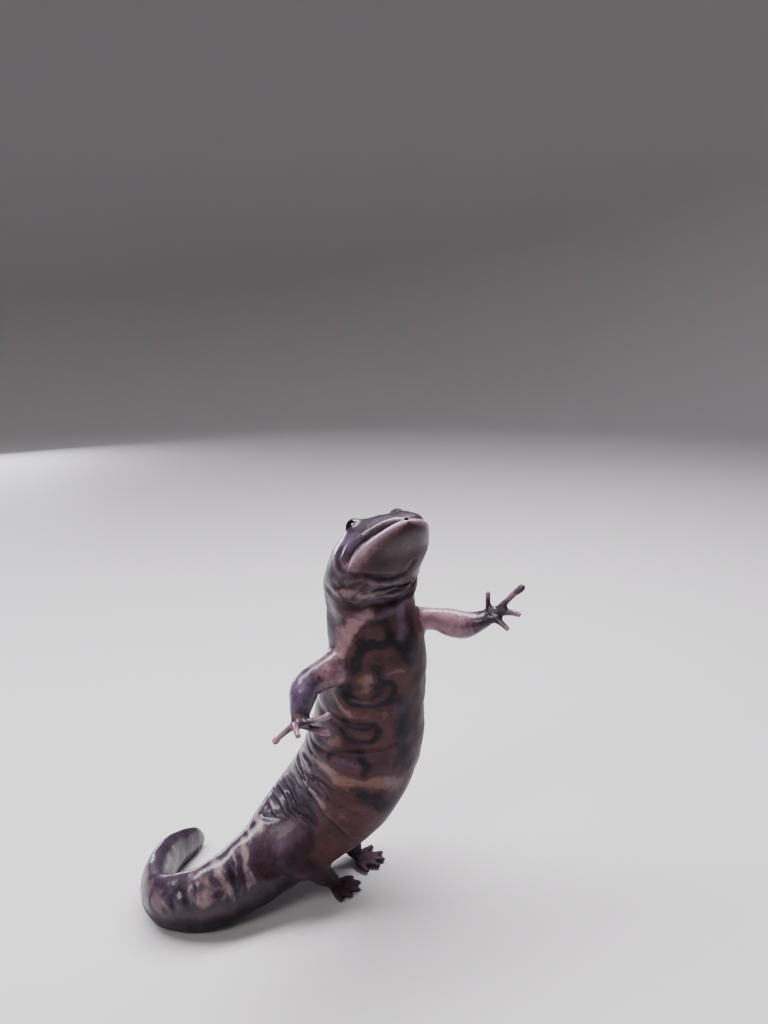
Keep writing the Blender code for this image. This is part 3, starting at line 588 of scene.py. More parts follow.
def limb_objects():
    """Every tube and digit of the four limbs."""
    made = []
    for name, (tubes, digits, flat) in LIMBS.items():
        for tube in tubes:
            sizes = [row[1:] for row in tube]
            shape = limb_rings([row[0] for row in tube], sizes, flat, LIMB_COLUMNS, LIMB_ROW_SPACING)
            made.append(tube_object(name, *shape))
        digit_sizes = FINGER_SIZES if name.startswith("arm") else TOE_SIZES
        for digit in digits:
            shape = limb_rings(digit, digit_sizes, flat, DIGIT_COLUMNS, DIGIT_ROW_SPACING)
            made.append(tube_object(name + "_digit", *shape))
    return made


def eye_axes(side):
    """The way an eye looks, and the directions across it towards the snout and the crown."""
    ahead, aside, above = EYE_LOOK
    look = unit(ahead * HEAD_FORWARD + side * aside * HEAD_LEFT + above * HEAD_BACK)
    fore = unit(HEAD_FORWARD - (HEAD_FORWARD @ look) * look)
    return look, fore, unit(HEAD_BACK - (HEAD_BACK @ look) * look - (HEAD_BACK @ fore) * fore)


def ball_object(name, centre, axes, rows=48):
    """An ellipsoid on three half axes, as rings of latitude closed by a fan at each pole."""
    latitude = np.linspace(-np.pi / 2, np.pi / 2, rows)[1:-1]
    angle = np.linspace(0, 2 * np.pi, 2 * rows, endpoint=False)
    across = np.cos(latitude)[:, None, None] * (
        np.cos(angle)[None, :, None] * axes[0] + np.sin(angle)[None, :, None] * axes[1]
    )
    rings = centre + across + np.sin(latitude)[:, None, None] * axes[2]
    if np.linalg.det(axes) > 0:
        rings = rings[:, ::-1]
    return tube_object(name, rings, centre - axes[2], centre + axes[2])


def combine(obj, others, operation):
    """One Boolean of the object with the others, which are then removed."""
    group = bpy.data.collections.new(operation)
    bpy.context.scene.collection.children.link(group)
    for other in others:
        bpy.context.scene.collection.objects.unlink(other)
        group.objects.link(other)
    boolean = obj.modifiers.new(operation, "BOOLEAN")
    boolean.operation = operation
    boolean.operand_type = "COLLECTION"
    boolean.collection = group
    boolean.solver = "MANIFOLD"
    bpy.context.view_layer.update()
    mesh = bpy.data.meshes.new_from_object(obj.evaluated_get(bpy.context.evaluated_depsgraph_get()))
    obj.modifiers.clear()
    obj.data = mesh
    for other in others:
        bpy.data.objects.remove(other)
    bpy.data.collections.remove(group)


def arrays_of(mesh):
    """Points, edges and triangles of a mesh as arrays."""
    points = np.empty(len(mesh.vertices) * 3, np.float32)
    mesh.vertices.foreach_get("co", points)
    edges = np.empty(len(mesh.edges) * 2, np.int32)
    mesh.edges.foreach_get("vertices", edges)
    mesh.calc_loop_triangles()
    triangles = np.empty(len(mesh.loop_triangles) * 3, np.int32)
    mesh.loop_triangles.foreach_get("vertices", triangles)
    return points.reshape(-1, 3).astype(float), edges.reshape(-1, 2), triangles.reshape(-1, 3)


def neighbour_mean(values, edges, count):
    """Each vertex's mean over the vertices that it shares an edge with."""
    both = np.concatenate([edges, edges[:, ::-1]])
    degree = np.maximum(np.bincount(both[:, 0], minlength=count), 1)
    values = values.reshape(count, -1)
    sums = [np.bincount(both[:, 0], column[both[:, 1]], count) for column in values.T]
    return np.stack(sums, axis=1) / degree[:, None]


def vertex_normals(points, triangles):
    """Unit normals: the sum of the area vectors of the triangles round each vertex."""
    corner = points[triangles]
    area = np.cross(corner[:, 1] - corner[:, 0], corner[:, 2] - corner[:, 0])
    sums = [
        sum(np.bincount(triangles[:, k], area[:, axis], len(points)) for k in range(3))
        for axis in range(3)
    ]
    return unit(np.stack(sums, axis=1) + 1e-12)


def creases(points, triangles, least_angle):
    """1 at vertices on an edge whose two triangles meet at a sharp hollow angle, else 0."""
    corner = points[triangles]
    normal = unit(np.cross(corner[:, 1] - corner[:, 0], corner[:, 2] - corner[:, 0]) + 1e-12)
    ends = np.concatenate([triangles[:, [0, 1]], triangles[:, [1, 2]], triangles[:, [2, 0]]])
    face = np.tile(np.arange(len(triangles)), 3)
    keys = np.sort(ends, axis=1) @ np.array([len(points), 1])
    order = np.argsort(keys, kind="stable")
    first, second = order[:-1], order[1:]
    same = keys[first] == keys[second]
    a, b = face[first[same]], face[second[same]]
    sharp = (normal[a] * normal[b]).sum(1) < np.cos(least_angle)
    hollow = (normal[a] * (corner[b].mean(1) - corner[a].mean(1))).sum(1) > 0
    mark = np.zeros(len(points))
    mark[ends[first[same]][sharp & hollow].ravel()] = 1.0
    return mark


def melt(points, edges, weight, rounds):
    """Moves each vertex towards the mean of its neighbours, as far as its weight says, many times."""
    for _ in range(rounds):
        mean = neighbour_mean(points, edges, len(points))
        points = points + 0.6 * weight[:, None] * (mean - points)
    return points


def straight_places(points):
    """Where each point is along and across the spine: (distance, to the left, towards the back)."""
    u = np.arange(0.0, BODY_LENGTH, 0.5)
    centre, forward, left, back = spine(u)
    places = np.empty_like(points)
    for start in range(0, len(points), 20000):
        some = points[start:start + 20000]
        square = (some**2).sum(1)[:, None] - 2 * some @ centre.T + (centre**2).sum(1)
        near = square.argmin(axis=1)
        away = some - centre[near]
        places[start:start + 20000] = np.stack([
            u[near] - (away * forward[near]).sum(1),
            (away * left[near]).sum(1),
            (away * back[near]).sum(1),
        ], axis=1)
    return places


def limb_nearness(points):
    """For each point the closest tube's distance in tube radii, the limb's index and the share of
    the way along the limb: 0 to 0.9 from its root to the wrist or ankle, 1 to 2 along a digit."""
    best = np.full(len(points), 9.0)
    limb = np.zeros(len(points), int)
    share = np.zeros(len(points))
    for index, (tubes, digits, _) in enumerate(LIMBS.values()):
        chains = [([row[0] for row in tube], [row[1] for row in tube]) for tube in tubes]
        chains += [(digit, [size[0] for size in FINGER_SIZES]) for digit in digits]
        for number, (places, sizes) in enumerate(chains):
            run = run_of(np.array(places))
            along = np.linspace(0, run[-1], 24)
            centre = smooth_curve(along, run, places)
            radius = smooth_curve(along, run, sizes)[:, 0]
            far = np.linalg.norm(points[:, None] - centre, axis=2) / radius
            near = far.argmin(axis=1)
            distance = far[np.arange(len(points)), near]
            closer = distance < best
            best[closer] = distance[closer]
            limb[closer] = index
            part = along[near[closer]] / run[-1]
            share[closer] = 1 + part if number >= len(tubes) else 0.9 * (number + part) / len(tubes)
    return best, limb, share


def stroked(strokes, u, turn):
    """Sum of soft strokes: each value falls off as a bell with the distance from its chain."""
    radius = smooth_curve(np.clip(u, 0, BODY_LENGTH), RUN, GIRTHS).mean(axis=1)
    radius = radius * rounded(np.maximum(u, 0), MUZZLE_LENGTH, 2.2)
    total = np.zeros_like(u)
    for _, half_width, value, chain in strokes:
        nearest = np.full(len(u), 99.0)
        for (place, angle), (next_place, next_angle) in zip(chain[:-1], chain[1:]):
            step = np.stack([np.full(len(u), next_place - place), np.radians(next_angle - angle) * radius])
            away = np.stack([u - place, np.radians((turn - angle + 180) % 360 - 180) * radius])
            share = np.clip((away * step).sum(0) / (step**2).sum(0), 0, 1)
            nearest = np.minimum(nearest, np.hypot(*(away - share * step)))
        total += value * np.exp(-0.7 * (nearest / half_width) ** 2.2)
    return total


def skin_object():
    """Body, limbs and lids joined into one closed surface, melted together and opened at the eyes."""
    skin = body_object()
    bulges = []
    cuts = []
    for side in (1, -1):
        eye = head_place(EYE_BEHIND_SNOUT, side * EYE_ASIDE, EYE_ABOVE_MOUTH)
        look, fore, crown = eye_axes(side)
        frame_axes = np.array([fore, crown, look])
        socket = EYE_RADIUS + SOCKET_CLEARANCE
        bulges.append(ball_object("lids", eye, frame_axes * (socket + LID_THICKNESS)))
        cuts.append(ball_object("socket", eye, frame_axes * socket))
        opening = np.array(LID_OPENING)[:, None] * frame_axes
        cuts.append(ball_object("opening", eye + LID_OPENING_OUT * look, opening))
        nostril = head_place(NOSTRIL_BEHIND_SNOUT, side * NOSTRIL_ASIDE, NOSTRIL_ABOVE_MOUTH)
        cuts.append(ball_object("nostril", nostril, np.eye(3) * NOSTRIL_RADIUS, 20))
    combine(skin, limb_objects() + bulges, "UNION")
    melt_joins(skin.data)
    combine(skin, cuts, "DIFFERENCE")
    return skin


def melt_joins(mesh):
    """Rounds the hollow creases where limbs, digits and lids join what they grow from."""
    points, edges, triangles = arrays_of(mesh)
    places = straight_places(points)
    lips = (places[:, 0] < MOUTH_CORNER + 2) & (places[:, 2] < EYE_ABOVE_MOUTH - 3.4)
    weight = creases(points, triangles, np.radians(18)) * ~lips
    nearness, _, share = limb_nearness(points)
    weight *= (nearness < 1.6) | (places[:, 0] < MOUTH_CORNER)
    spread = np.where(share > 0.85, 0.72, 0.87)
    for _ in range(14):
        weight = np.maximum(weight, spread * neighbour_mean(weight, edges, len(points))[:, 0] ** 0.5)
        weight[weight < 0.08] = 0
    weight = np.clip(weight * 1.2, 0, 1)
    points = melt(points, edges, weight, 40)
    mesh.vertices.foreach_set("co", points.astype(np.float32).ravel())
    mesh.update()


def wrinkle(points, triangles, places, limb_weight, depth):
    """Pushes the skin along its normals by the drawn folds and by fine ones that come and go.

    A fine fold is a valley where a random field, long round the body and short along it, is near
    zero. The valleys are deep on the flanks, hips and neck, shallow on the belly, and absent on
    the lips.
    """
    u, across, up = places.T
    reach = np.hypot(across, up) + 1e-6
    turn = np.degrees(np.arctan2(up, across)) % 360
    even = np.ones(3)
    flank = ramp(np.abs(across) / reach, 0.25, 0.8)
    hips = bump(u, 94.0, 20.0)
    bent = places + np.outer(0.9 * ripple(places, 7.0, even, 8), [1.0, 0.0, 0.0])
    folds = -np.exp(-((ripple(bent, 2.6, np.array([1.0, 5.0, 5.0]), 11) / 0.4) ** 2))
    folds = folds * ramp(ripple(places, 8.0, even, 9), -0.7, 0.9)
    tail_ribs = np.sin(2 * np.pi * (0.4 * u + 0.6 * bent[:, 0]) / 1.7) * bump(u, 123.0, 12.0) * flank
    tail_ribs = tail_ribs * ramp(ripple(places, 7.0, even, 12), -0.8, 1.0) * ramp(up, -2.0, 3.0)
    below = ramp(turn, 165, 190) * ramp(-turn, -350, -320)
    neck = 0.4 * bump(u, 20.0, 3.5)
    strength = np.maximum(flank * hips * (1 - 0.6 * below), neck) + 0.25 * flank * (1 - below)
    strength = strength * ramp(u, 13.0, 19.0) * (1 - limb_weight)
    limb_folds = -np.exp(-((ripple(points, 3.4, even, 5) / 0.35) ** 2))
    lumps = ripple(points, 6.5, even, 3)
    height = strength * folds + 1.5 * tail_ribs * (1 - limb_weight) + 0.3 * limb_weight * limb_folds
    height = height + 0.3 * lumps * ramp(u, 8.0, 16.0)
    crinkles = np.abs(ripple(bent, 1.9, np.array([0.8, 1.6, 1.6]), 15)) * bump(u, 16.0, 3.0) * ramp(turn, 175, 200)
    height = height - 0.6 * crinkles
    height = depth * height + (1 - limb_weight) * stroked(FOLD_STROKES, u, turn)
    return points + height[:, None] * vertex_normals(points, triangles)


def relief_of(points, edges, triangles):
    """How far each vertex stands out from the mean of its surroundings, in millimetres."""
    mean = points
    for _ in range(3):
        mean = neighbour_mean(mean, edges, len(points))
    out = ((points - mean) * vertex_normals(points, triangles)).sum(axis=1)
    return neighbour_mean(out, edges, len(points))[:, 0]


def store(obj, points, shift):
    """Puts the points into the mesh in metres, in the frame of the solids, and shades it smooth."""
    mesh = obj.data
    mesh.vertices.foreach_set("co", ((points + shift) * MM).astype(np.float32).ravel())
    mesh.shade_smooth()
    mesh.update()


def attribute(mesh, name, values):
    layer = mesh.attributes.new(name, "FLOAT", "POINT")
    layer.data.foreach_set("value", np.asarray(values, np.float32))


def frame_shift():
    """How far the solids lie from the places in this script, from the left eye."""
    low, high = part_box("eye_left")
    middle = (np.array(low) + np.array(high)) / 2 / MM
    return middle - head_place(EYE_BEHIND_SNOUT, EYE_ASIDE, EYE_ABOVE_MOUTH)


class Wiring:
    """Adds shader nodes to a material and links them."""

    def __init__(self, name):
        self.material = bpy.data.materials.new(name)
        self.material.use_nodes = True
        self.nodes = self.material.node_tree.nodes
        self.links = self.material.node_tree.links
        self.surface = self.nodes["Principled BSDF"]

    def put(self, value, socket):
        """Links a socket, or sets a plain value."""
        if isinstance(value, bpy.types.NodeSocket):
            self.links.new(value, socket)
        else:
            socket.default_value = value

    def node(self, kind, inputs=None, **settings):
        made = self.nodes.new(kind)
        for key, value in settings.items():
            setattr(made, key, value)
        for key, value in (inputs or {}).items():
            self.put(value, made.inputs[key])
        return made

    def maths(self, operation, first, second=0.0):
        made = self.node("ShaderNodeMath", {0: first, 1: second}, operation=operation)
        return made.outputs[0]

    def between(self, value, low, high, to_low=0.0, to_high=1.0):
        """The value's place between two limits, eased at both ends."""
        inputs = {"Value": value, "From Min": low, "From Max": high, "To Min": to_low, "To Max": to_high}
        made = self.node("ShaderNodeMapRange", inputs, interpolation_type="SMOOTHSTEP")
        return made.outputs["Result"]

    def mix(self, share, first, second):
        made = self.node("ShaderNodeMix", {"Factor": share}, data_type="RGBA")
        self.put(first, made.inputs[6])
        self.put(second, made.inputs[7])
        return made.outputs[2]

    def noise(self, scale, detail=2.0, roughness=0.5, stretch=None, distortion=0.0):
        """Noise on object coordinates, with scale in waves per metre."""
        place = self.node("ShaderNodeTexCoord").outputs["Object"]
        if stretch:
            place = self.node("ShaderNodeMapping", {"Vector": place, "Scale": stretch}).outputs[0]
        inputs = {
            "Vector": place, "Scale": scale, "Detail": detail,
            "Roughness": roughness, "Distortion": distortion,
        }
        return self.node("ShaderNodeTexNoise", inputs).outputs["Fac"]

    def marks(self, name):
        return self.node("ShaderNodeAttribute", attribute_name=name).outputs["Fac"]


def rgba(colour):
    return (*colour, 1.0)


def skin_material(look):
    """Wet skin: dark ground, brown belly, tan and olive marks, pink lips, fine grain and a clear coat. Painted shade
    darkens low places, the mouth's groove, the tail's underside and the far side; a painted sheen pales high places
    and the temple; the speckle and the lower lip's pale rim are partly painted highlight.
    """
    wires = Wiring("wet_skin")
    edge = wires.maths("SUBTRACT", wires.noise(520.0, 4.0, 0.6), 0.5)
    broad = wires.noise(95.0, 2.0, 0.5, distortion=0.8)
    blotches = wires.between(broad, 0.47, 0.66, -0.25, 0.6)
    quiet = wires.marks("quiet")
    pattern = wires.maths("MULTIPLY", blotches, wires.maths("SUBTRACT", 1.0, quiet))
    soft = wires.maths("MULTIPLY", wires.maths("SUBTRACT", wires.noise(240.0, 3.0, 0.55), 0.5), 0.6)
    light = wires.maths("ADD", wires.marks("marks_and_painted_shade"), pattern)
    light = wires.maths("ADD", light, wires.maths("ADD", soft, wires.maths("MULTIPLY", edge, 0.8)))
    warmth = wires.noise(150.0, 2.0, 0.5)

    ground = wires.mix(wires.marks("underside"), rgba(look.dark), rgba(look.brown))
    ground = wires.mix(wires.between(warmth, 0.4, 0.7, 0.0, 0.45), ground, rgba(look.deep))
    golden = wires.maths("MULTIPLY", wires.between(warmth, 0.38, 0.58), wires.marks("underside"))
    tan = wires.mix(golden, rgba(look.tan), rgba(look.olive))
    tan = wires.mix(wires.marks("pinkness"), tan, rgba(look.pink))
    colour = wires.mix(wires.between(light, 0.08, 0.75), ground, tan)
    colour = wires.mix(wires.between(light, -0.12, -0.85), colour, rgba(look.deep))
    grey = wires.maths("ADD", wires.marks("grey_marks_and_painted_sheen"), wires.maths("MULTIPLY", edge, 0.6))
    colour = wires.mix(wires.between(grey, 0.15, 0.95, 0.0, 0.85), colour, rgba(look.grey))
    lips = wires.maths("ADD", wires.marks("lips"), wires.maths("MULTIPLY", edge, 0.5))
    colour = wires.mix(wires.between(lips, 0.1, 1.0, 0.0, 0.9), colour, rgba(look.pink))
    # The lower lip's pale rim: partly its own colour, partly a painted highlight along it.
    colour = wires.mix(wires.between(lips, 0.62, 1.0, 0.0, 0.75), colour, rgba(look.rim))
    # Painted shade: low places of the relief darken towards the deep colour. Painted sheen: high places pale towards
    # grey.
    relief = wires.marks("relief")
    colour = wires.mix(wires.between(relief, -0.015, -0.08, 0.0, 0.6), colour, rgba(look.deep))
    colour = wires.mix(wires.between(relief, 0.02, 0.09, 0.0, 0.3), colour, rgba(look.grey))
    # Painted shade along the groove of the mouth.
    colour = wires.mix(wires.marks("mouth_groove_shade"), colour, rgba(look.deep))
    specks = wires.between(wires.noise(950.0, 2.0, 0.6), 0.56, 0.72, 0.0, 0.4)
    colour = wires.mix(specks, colour, rgba(look.deep))
    # Fine pale speckle: partly the skin's own specks, partly painted glints.
    speckle = wires.between(wires.noise(1700.0, 2.0, 0.6), 0.56, 0.74, 0.0, 0.22)
    colour = wires.mix(speckle, colour, rgba(look.grey))
    wires.put(colour, wires.surface.inputs["Base Color"])

    wet = wires.between(wires.noise(260.0, 3.0, 0.55), 0.35, 0.65, 0.36, 0.55)
    dull = wires.maths("MULTIPLY", wires.maths("SUBTRACT", 1.0, wires.marks("gloss")), 0.3)
    wires.put(wires.maths("ADD", wet, dull), wires.surface.inputs["Roughness"])
    pores = wires.node(
        "ShaderNodeTexVoronoi",
        {"Vector": wires.node("ShaderNodeTexCoord").outputs["Object"], "Scale": 1500.0},
        feature="SMOOTH_F1",
    ).outputs["Distance"]
    fine = wires.noise(3600.0, 2.0, 0.6)
    height = wires.maths("ADD", wires.maths("MULTIPLY", pores, -0.8), wires.maths("MULTIPLY", fine, 0.5))
    height = wires.maths("ADD", height, wires.maths("MULTIPLY", wires.noise(800.0, 2.0, 0.5), 1.6))
    grain = wires.node("ShaderNodeBump", {"Strength": 0.6, "Distance": look.grain, "Height": height})
    wires.put(grain.outputs["Normal"], wires.surface.inputs["Normal"])
    film = wires.maths("ADD", wires.noise(480.0, 3.0, 0.55), wires.maths("MULTIPLY", pores, -0.45))
    film = wires.maths("ADD", film, wires.maths("MULTIPLY", wires.noise(1500.0, 2.0, 0.5), 0.4))
    coat = wires.node("ShaderNodeBump", {"Strength": 0.5, "Distance": look.grain * 1.5, "Height": film})
    wires.put(coat.outputs["Normal"], wires.surface.inputs["Coat Normal"])
    wires.put(wires.maths("MULTIPLY", wires.marks("gloss"), look.wetness), wires.surface.inputs["Coat Weight"])
    wires.surface.inputs["Coat Roughness"].default_value = 0.17
    wires.surface.inputs["Coat IOR"].default_value = 1.36
    wires.surface.inputs["Specular IOR Level"].default_value = 0.16
    return wires.material


def eye_material(look):
    """A black round pupil in a dark brown iris with gold flecks, under a clear glossy cornea."""
    wires = Wiring("glossy_eye")
    off = wires.marks("off_axis")
    flecks = wires.between(wires.noise(2600.0, 3.0, 0.65), 0.5, 0.68)
    iris = wires.mix(flecks, rgba(look.iris), rgba(look.flecks))
    ring = wires.between(off, 0.36, 0.42)
    colour = wires.mix(ring, (0.004, 0.004, 0.005, 1.0), iris)
    colour = wires.mix(wires.between(off, 0.78, 0.92), colour, (0.01, 0.008, 0.01, 1.0))
    wires.put(colour, wires.surface.inputs["Base Color"])
    wires.surface.inputs["Roughness"].default_value = 0.16
    wires.surface.inputs["Coat Weight"].default_value = 1.0
    wires.surface.inputs["Coat Roughness"].default_value = 0.03
    wires.surface.inputs["Coat IOR"].default_value = 1.45
    return wires.material


def plain_material(name, colour, roughness):
    wires = Wiring(name)
    shade = wires.noise(9.0, 3.0, 0.5)
    paler = tuple(min(1.0, channel * 1.03) for channel in colour)
    wires.put(wires.mix(shade, rgba(colour), rgba(paler)), wires.surface.inputs["Base Color"])
    wires.surface.inputs["Roughness"].default_value = roughness
    return wires.material


class SalamanderLook(bpy.types.PropertyGroup):
    """Colours and depths of the skin and the eyes."""

    dark: bpy.props.FloatVectorProperty(
        name="Back", description="Ground colour of the back", subtype="COLOR", default=(0.021, 0.011, 0.022))
    # The deep colour serves the darkest marks and specks, and also the painted shade in low places and along the
    # mouth's groove.
    deep: bpy.props.FloatVectorProperty(
        name="Dark marks", description="Colour of the darkest marks", subtype="COLOR",
        default=(0.007, 0.004, 0.007))
    brown: bpy.props.FloatVectorProperty(
        name="Belly", description="Ground colour of the belly", subtype="COLOR",
        default=(0.064, 0.025, 0.026))
    tan: bpy.props.FloatVectorProperty(
        name="Tan marks", description="Colour of the pale bars and blotches", subtype="COLOR",
        default=(0.17, 0.112, 0.115))
    olive: bpy.props.FloatVectorProperty(
        name="Olive marks", description="Second colour of the pale marks", subtype="COLOR",
        default=(0.155, 0.082, 0.058))
    pink: bpy.props.FloatVectorProperty(
        name="Lips and limbs", description="Colour of lips and pale limbs", subtype="COLOR",
        default=(0.27, 0.145, 0.175))
    # The rim colour is partly the lower lip's own pale edge and partly a painted highlight along it.
    rim: bpy.props.FloatVectorProperty(
        name="Rim of the mouth", description="Colour of the lower lip's upper edge", subtype="COLOR",
        default=(0.44, 0.31, 0.41))
    # The grey colour serves grey marks, the painted sheen on the temple and on high places, and the speckle that
    # partly stands for glints.
    grey: bpy.props.FloatVectorProperty(
        name="Grey", description="Violet grey of chest and speckles", subtype="COLOR",
        default=(0.09, 0.058, 0.108))
    wetness: bpy.props.FloatProperty(
        name="Wetness", description="Strength of the clear wet coat", min=0.0, max=1.0, default=0.7)
    grain: bpy.props.FloatProperty(
        name="Grain", description="Depth of the skin's grain", unit="LENGTH", default=0.00009)
    folds: bpy.props.FloatProperty(
        name="Folds", description="Depth of the fine folds", unit="LENGTH", default=0.00022)
    iris: bpy.props.FloatVectorProperty(
        name="Iris", description="Ground colour of the iris", subtype="COLOR", default=(0.05, 0.03, 0.018))
    flecks: bpy.props.FloatVectorProperty(
        name="Flecks", description="Colour of the iris's flecks", subtype="COLOR", default=(0.3, 0.2, 0.08))


class StudioSettings(bpy.types.PropertyGroup):
    """The plain floor, its lights and the camera."""

    floor: bpy.props.FloatVectorProperty(
        name="Floor", description="Colour of the floor and backdrop", subtype="COLOR",
        default=(0.5, 0.485, 0.485))
    key_power: bpy.props.FloatProperty(
        name="Key light", description="Power of the light above", unit="POWER", default=10.0)
    fill_power: bpy.props.FloatProperty(
        name="Fill light", description="Power of the light beside the camera", unit="POWER", default=1.8)
    lens: bpy.props.FloatProperty(
        name="Lens", description="Focal length of the camera in millimetres", default=910 / 1024 * 36)
    pitch: bpy.props.FloatProperty(
        name="Tilt", description="How far the camera looks down", subtype="ANGLE", default=np.radians(13))


class SALAMANDER_OT_skin(bpy.types.Operator):
    """Make the one skin of body and limbs, with its markings"""

    bl_idname = "salamander.skin"
    bl_label = "Skin"

    def execute(self, context):
        look = context.scene.salamander_look
        skin = skin_object()
        skin.name = "skin"
        mesh = skin.data
        points, edges, triangles = arrays_of(mesh)
        places = straight_places(points)
        nearness, limb, share = limb_nearness(points)
        u, across, up = places.T
        reach = np.hypot(across, up)
        girth = smooth_curve(np.clip(u, 0, BODY_LENGTH), RUN, GIRTHS)[:, 0]
        limb_weight = ramp(reach / girth - nearness, -0.12, 0.18) * ramp(u, 20.0, 26.0)
        points = wrinkle(points, triangles, places, limb_weight, look.folds / MM)
        points[:, 2] = np.maximum(points[:, 2], 0.0)
        # The relief drives painted shade in low places and a painted sheen on high places of the skin's colour.
        attribute(mesh, "relief", relief_of(points, edges, triangles))
        paint_skin(mesh, places, limb_weight, limb, share)
        store(skin, points, frame_shift())
        mesh.materials.clear()
        mesh.materials.append(skin_material(look))
        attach(skin, "root")
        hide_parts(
            "head", "neck", "torso_chest", "torso_belly", "torso_hips", "tail_base",
            "tail_middle", "tail_tip", "arm_right", "arm_left", "leg_right", "leg_left",
        )
        return {"FINISHED"}


def paint_skin(mesh, places, limb_weight, limb, share):
    """Stores the markings as attributes: light and dark marks with painted shade, grey marks with a painted sheen,
    pink, lips, underside, and painted shade along the mouth's groove.
    """
    u, across, up = places.T
    turn = np.degrees(np.arctan2(up, across)) % 360
    body = 1 - limb_weight
    tones = np.zeros((3, len(u)))
    for index, name in enumerate(LIMBS):
        place, *columns = np.transpose(LIMB_TONES[name])
        here = limb == index
        for row, column in enumerate(columns):
            tones[row, here] = np.interp(share[here], place, column)
    drawn_side = np.where(u < 138, bump(turn, 125, 32), 0)
    bars = sum(value * bump(u + 0.6 * np.sin(turn / 23 + place), place, half)
               for place, half, value in TAIL_BARS)
    bars = bars * np.clip(bump(turn, 140, 50) + bump(turn, 40, 50), 0, 1) * (1 - drawn_side)
    even = np.ones(3)
    loose = ramp(u, 13, 19)
    bent = u + loose * (0.26 * ripple(places, 6.0, even, 21) + 0.08 * ripple(places, 2.0, even, 23))
    swung = turn + loose * (1.5 * ripple(places, 6.0, even, 22) + 0.5 * ripple(places, 2.0, even, 24))
    # Painted shade: the underside of the tail is darkened.
    shade_under_tail = ramp(u, 96, 108) * ramp(-np.sin(np.radians(turn)), -0.35, 0.5)
    light = stroked(PALE_STROKES + DARK_STROKES, bent, swung) + bars - 0.1 * ramp(u, 96, 106) - 0.3 * ramp(u, 136, 146) - 0.6 * shade_under_tail
    attribute(mesh, "marks_and_painted_shade", body * light + limb_weight * tones[0])
    attribute(mesh, "grey_marks_and_painted_sheen", body * stroked(GREY_STROKES, bent, swung) + limb_weight * tones[1])
    attribute(mesh, "pinkness", 0.7 * body * (1 - ramp(u, 34, 42)) * ramp(u, 18, 21) * ramp(turn, 140, 170) + limb_weight * tones[2])
    below = ramp(-np.sin(np.radians(turn)), -0.25, 0.35)
    legs = limb_weight * (limb > 1) * 0.5
    attribute(mesh, "underside", body * below * (0.55 + 0.45 * ramp(u, 22, 32)) * (1 - 0.6 * ramp(u, 96, 110)) + legs)
    seen = ramp(turn, 105, 140) * ramp(-turn, -335, -300)
    quiet = np.maximum(ramp(18 - u, 0, 6), 0.9 * ramp(u, 100, 108))
    attribute(mesh, "quiet", np.maximum(np.maximum(quiet, seen), limb_weight))
    dull = body * ramp(-np.sin(np.radians(turn)), -0.1, 0.4) * ramp(u, 4, 8) * 0.8
    dull = dull * (1 - 0.7 * bump(u, 16, 4))
    dull = np.maximum(dull, body * 0.7 * bump(u, 28, 9) * bump(turn, 158, 26))
    hip = bump(u, 98, 9) * bump(turn, 150, 40)
    attribute(mesh, "gloss", np.clip(1 - dull - 0.9 * np.maximum(limb_weight * (limb > 1), hip), 0, 1))
    off = np.minimum(np.abs((turn + 180) % 360 - 180), np.abs(turn - 180))
    arc = np.radians(off) * np.maximum(12.0 * rounded(u, MUZZLE_LENGTH, 2.2), 1.0)
    below = np.where(turn > 180, 1.0, 0.4)
    lips = ramp(MOUTH_CORNER + 1 - u, 0, 4) * np.exp(-((arc / (1.1 + 1.5 * below)) ** 2)) * below
    attribute(mesh, "lips", lips)
    # Painted shade along the groove of the mouth, fading towards its corner.
    attribute(mesh, "mouth_groove_shade", ramp(MOUTH_CORNER - u, 1, 6) * np.exp(-((arc / 0.24) ** 2)) * 0.65)


class SALAMANDER_OT_eyes(bpy.types.Operator):
    """Make the two glossy eyes, each a ball with a raised cornea"""

    bl_idname = "salamander.eyes"
    bl_label = "Eyes"

    def execute(self, context):
        material = eye_material(context.scene.salamander_look)
        shift = frame_shift()
        for word, side in (("left", 1), ("right", -1)):
            look, fore, crown = eye_axes(side)
            centre = head_place(EYE_BEHIND_SNOUT, side * EYE_ASIDE, EYE_ABOVE_MOUTH)
            latitude = np.linspace(-np.pi / 2, np.pi / 2, 42)[1:-1]
            angle = np.linspace(0, 2 * np.pi, 64, endpoint=False)
            out = EYE_RADIUS * (0.985 + 0.06 * ramp(np.sin(latitude), 0.7, 1.0)) * 0.965
            across = np.cos(angle)[:, None] * fore + np.sin(angle)[:, None] * crown
            rings = centre + (out * np.cos(latitude))[:, None, None] * across
            rings = rings + (out * np.sin(latitude))[:, None, None] * look
            if np.linalg.det(np.array([fore, crown, look])) > 0:
                rings = rings[:, ::-1]
            start, end = centre - out[0] * look, centre + out[-1] * look
            eye = tube_object(f"eye_{word}_glossy", rings, start, end)
            points, _, _ = arrays_of(eye.data)
            away = points - centre
            off_axis = np.linalg.norm(away - (away @ look)[:, None] * look, axis=1) / EYE_RADIUS
            attribute(eye.data, "off_axis", np.where(away @ look > 0, off_axis, 1.0))
            store(eye, points, shift)
            eye.data.materials.append(material)
            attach(eye, "root")
            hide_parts(f"eye_{word}")
        return {"FINISHED"}


def add_light(name, place, aim, sizes, power, colour):
    """An area light, wide and tall by its sizes, that points from its place at its aim."""
    data = bpy.data.lights.new(name, "AREA")
    data.shape = "RECTANGLE"
    data.size, data.size_y = sizes
    data.energy = power
    data.color = colour
    light = bpy.data.objects.new(name, data)
    light.location = place
    away = np.array(place) - np.array(aim)
    light.rotation_euler = (np.arctan2(np.hypot(away[0], away[1]), away[2]), 0, np.arctan2(away[0], -away[1]))
    bpy.context.scene.collection.objects.link(light)


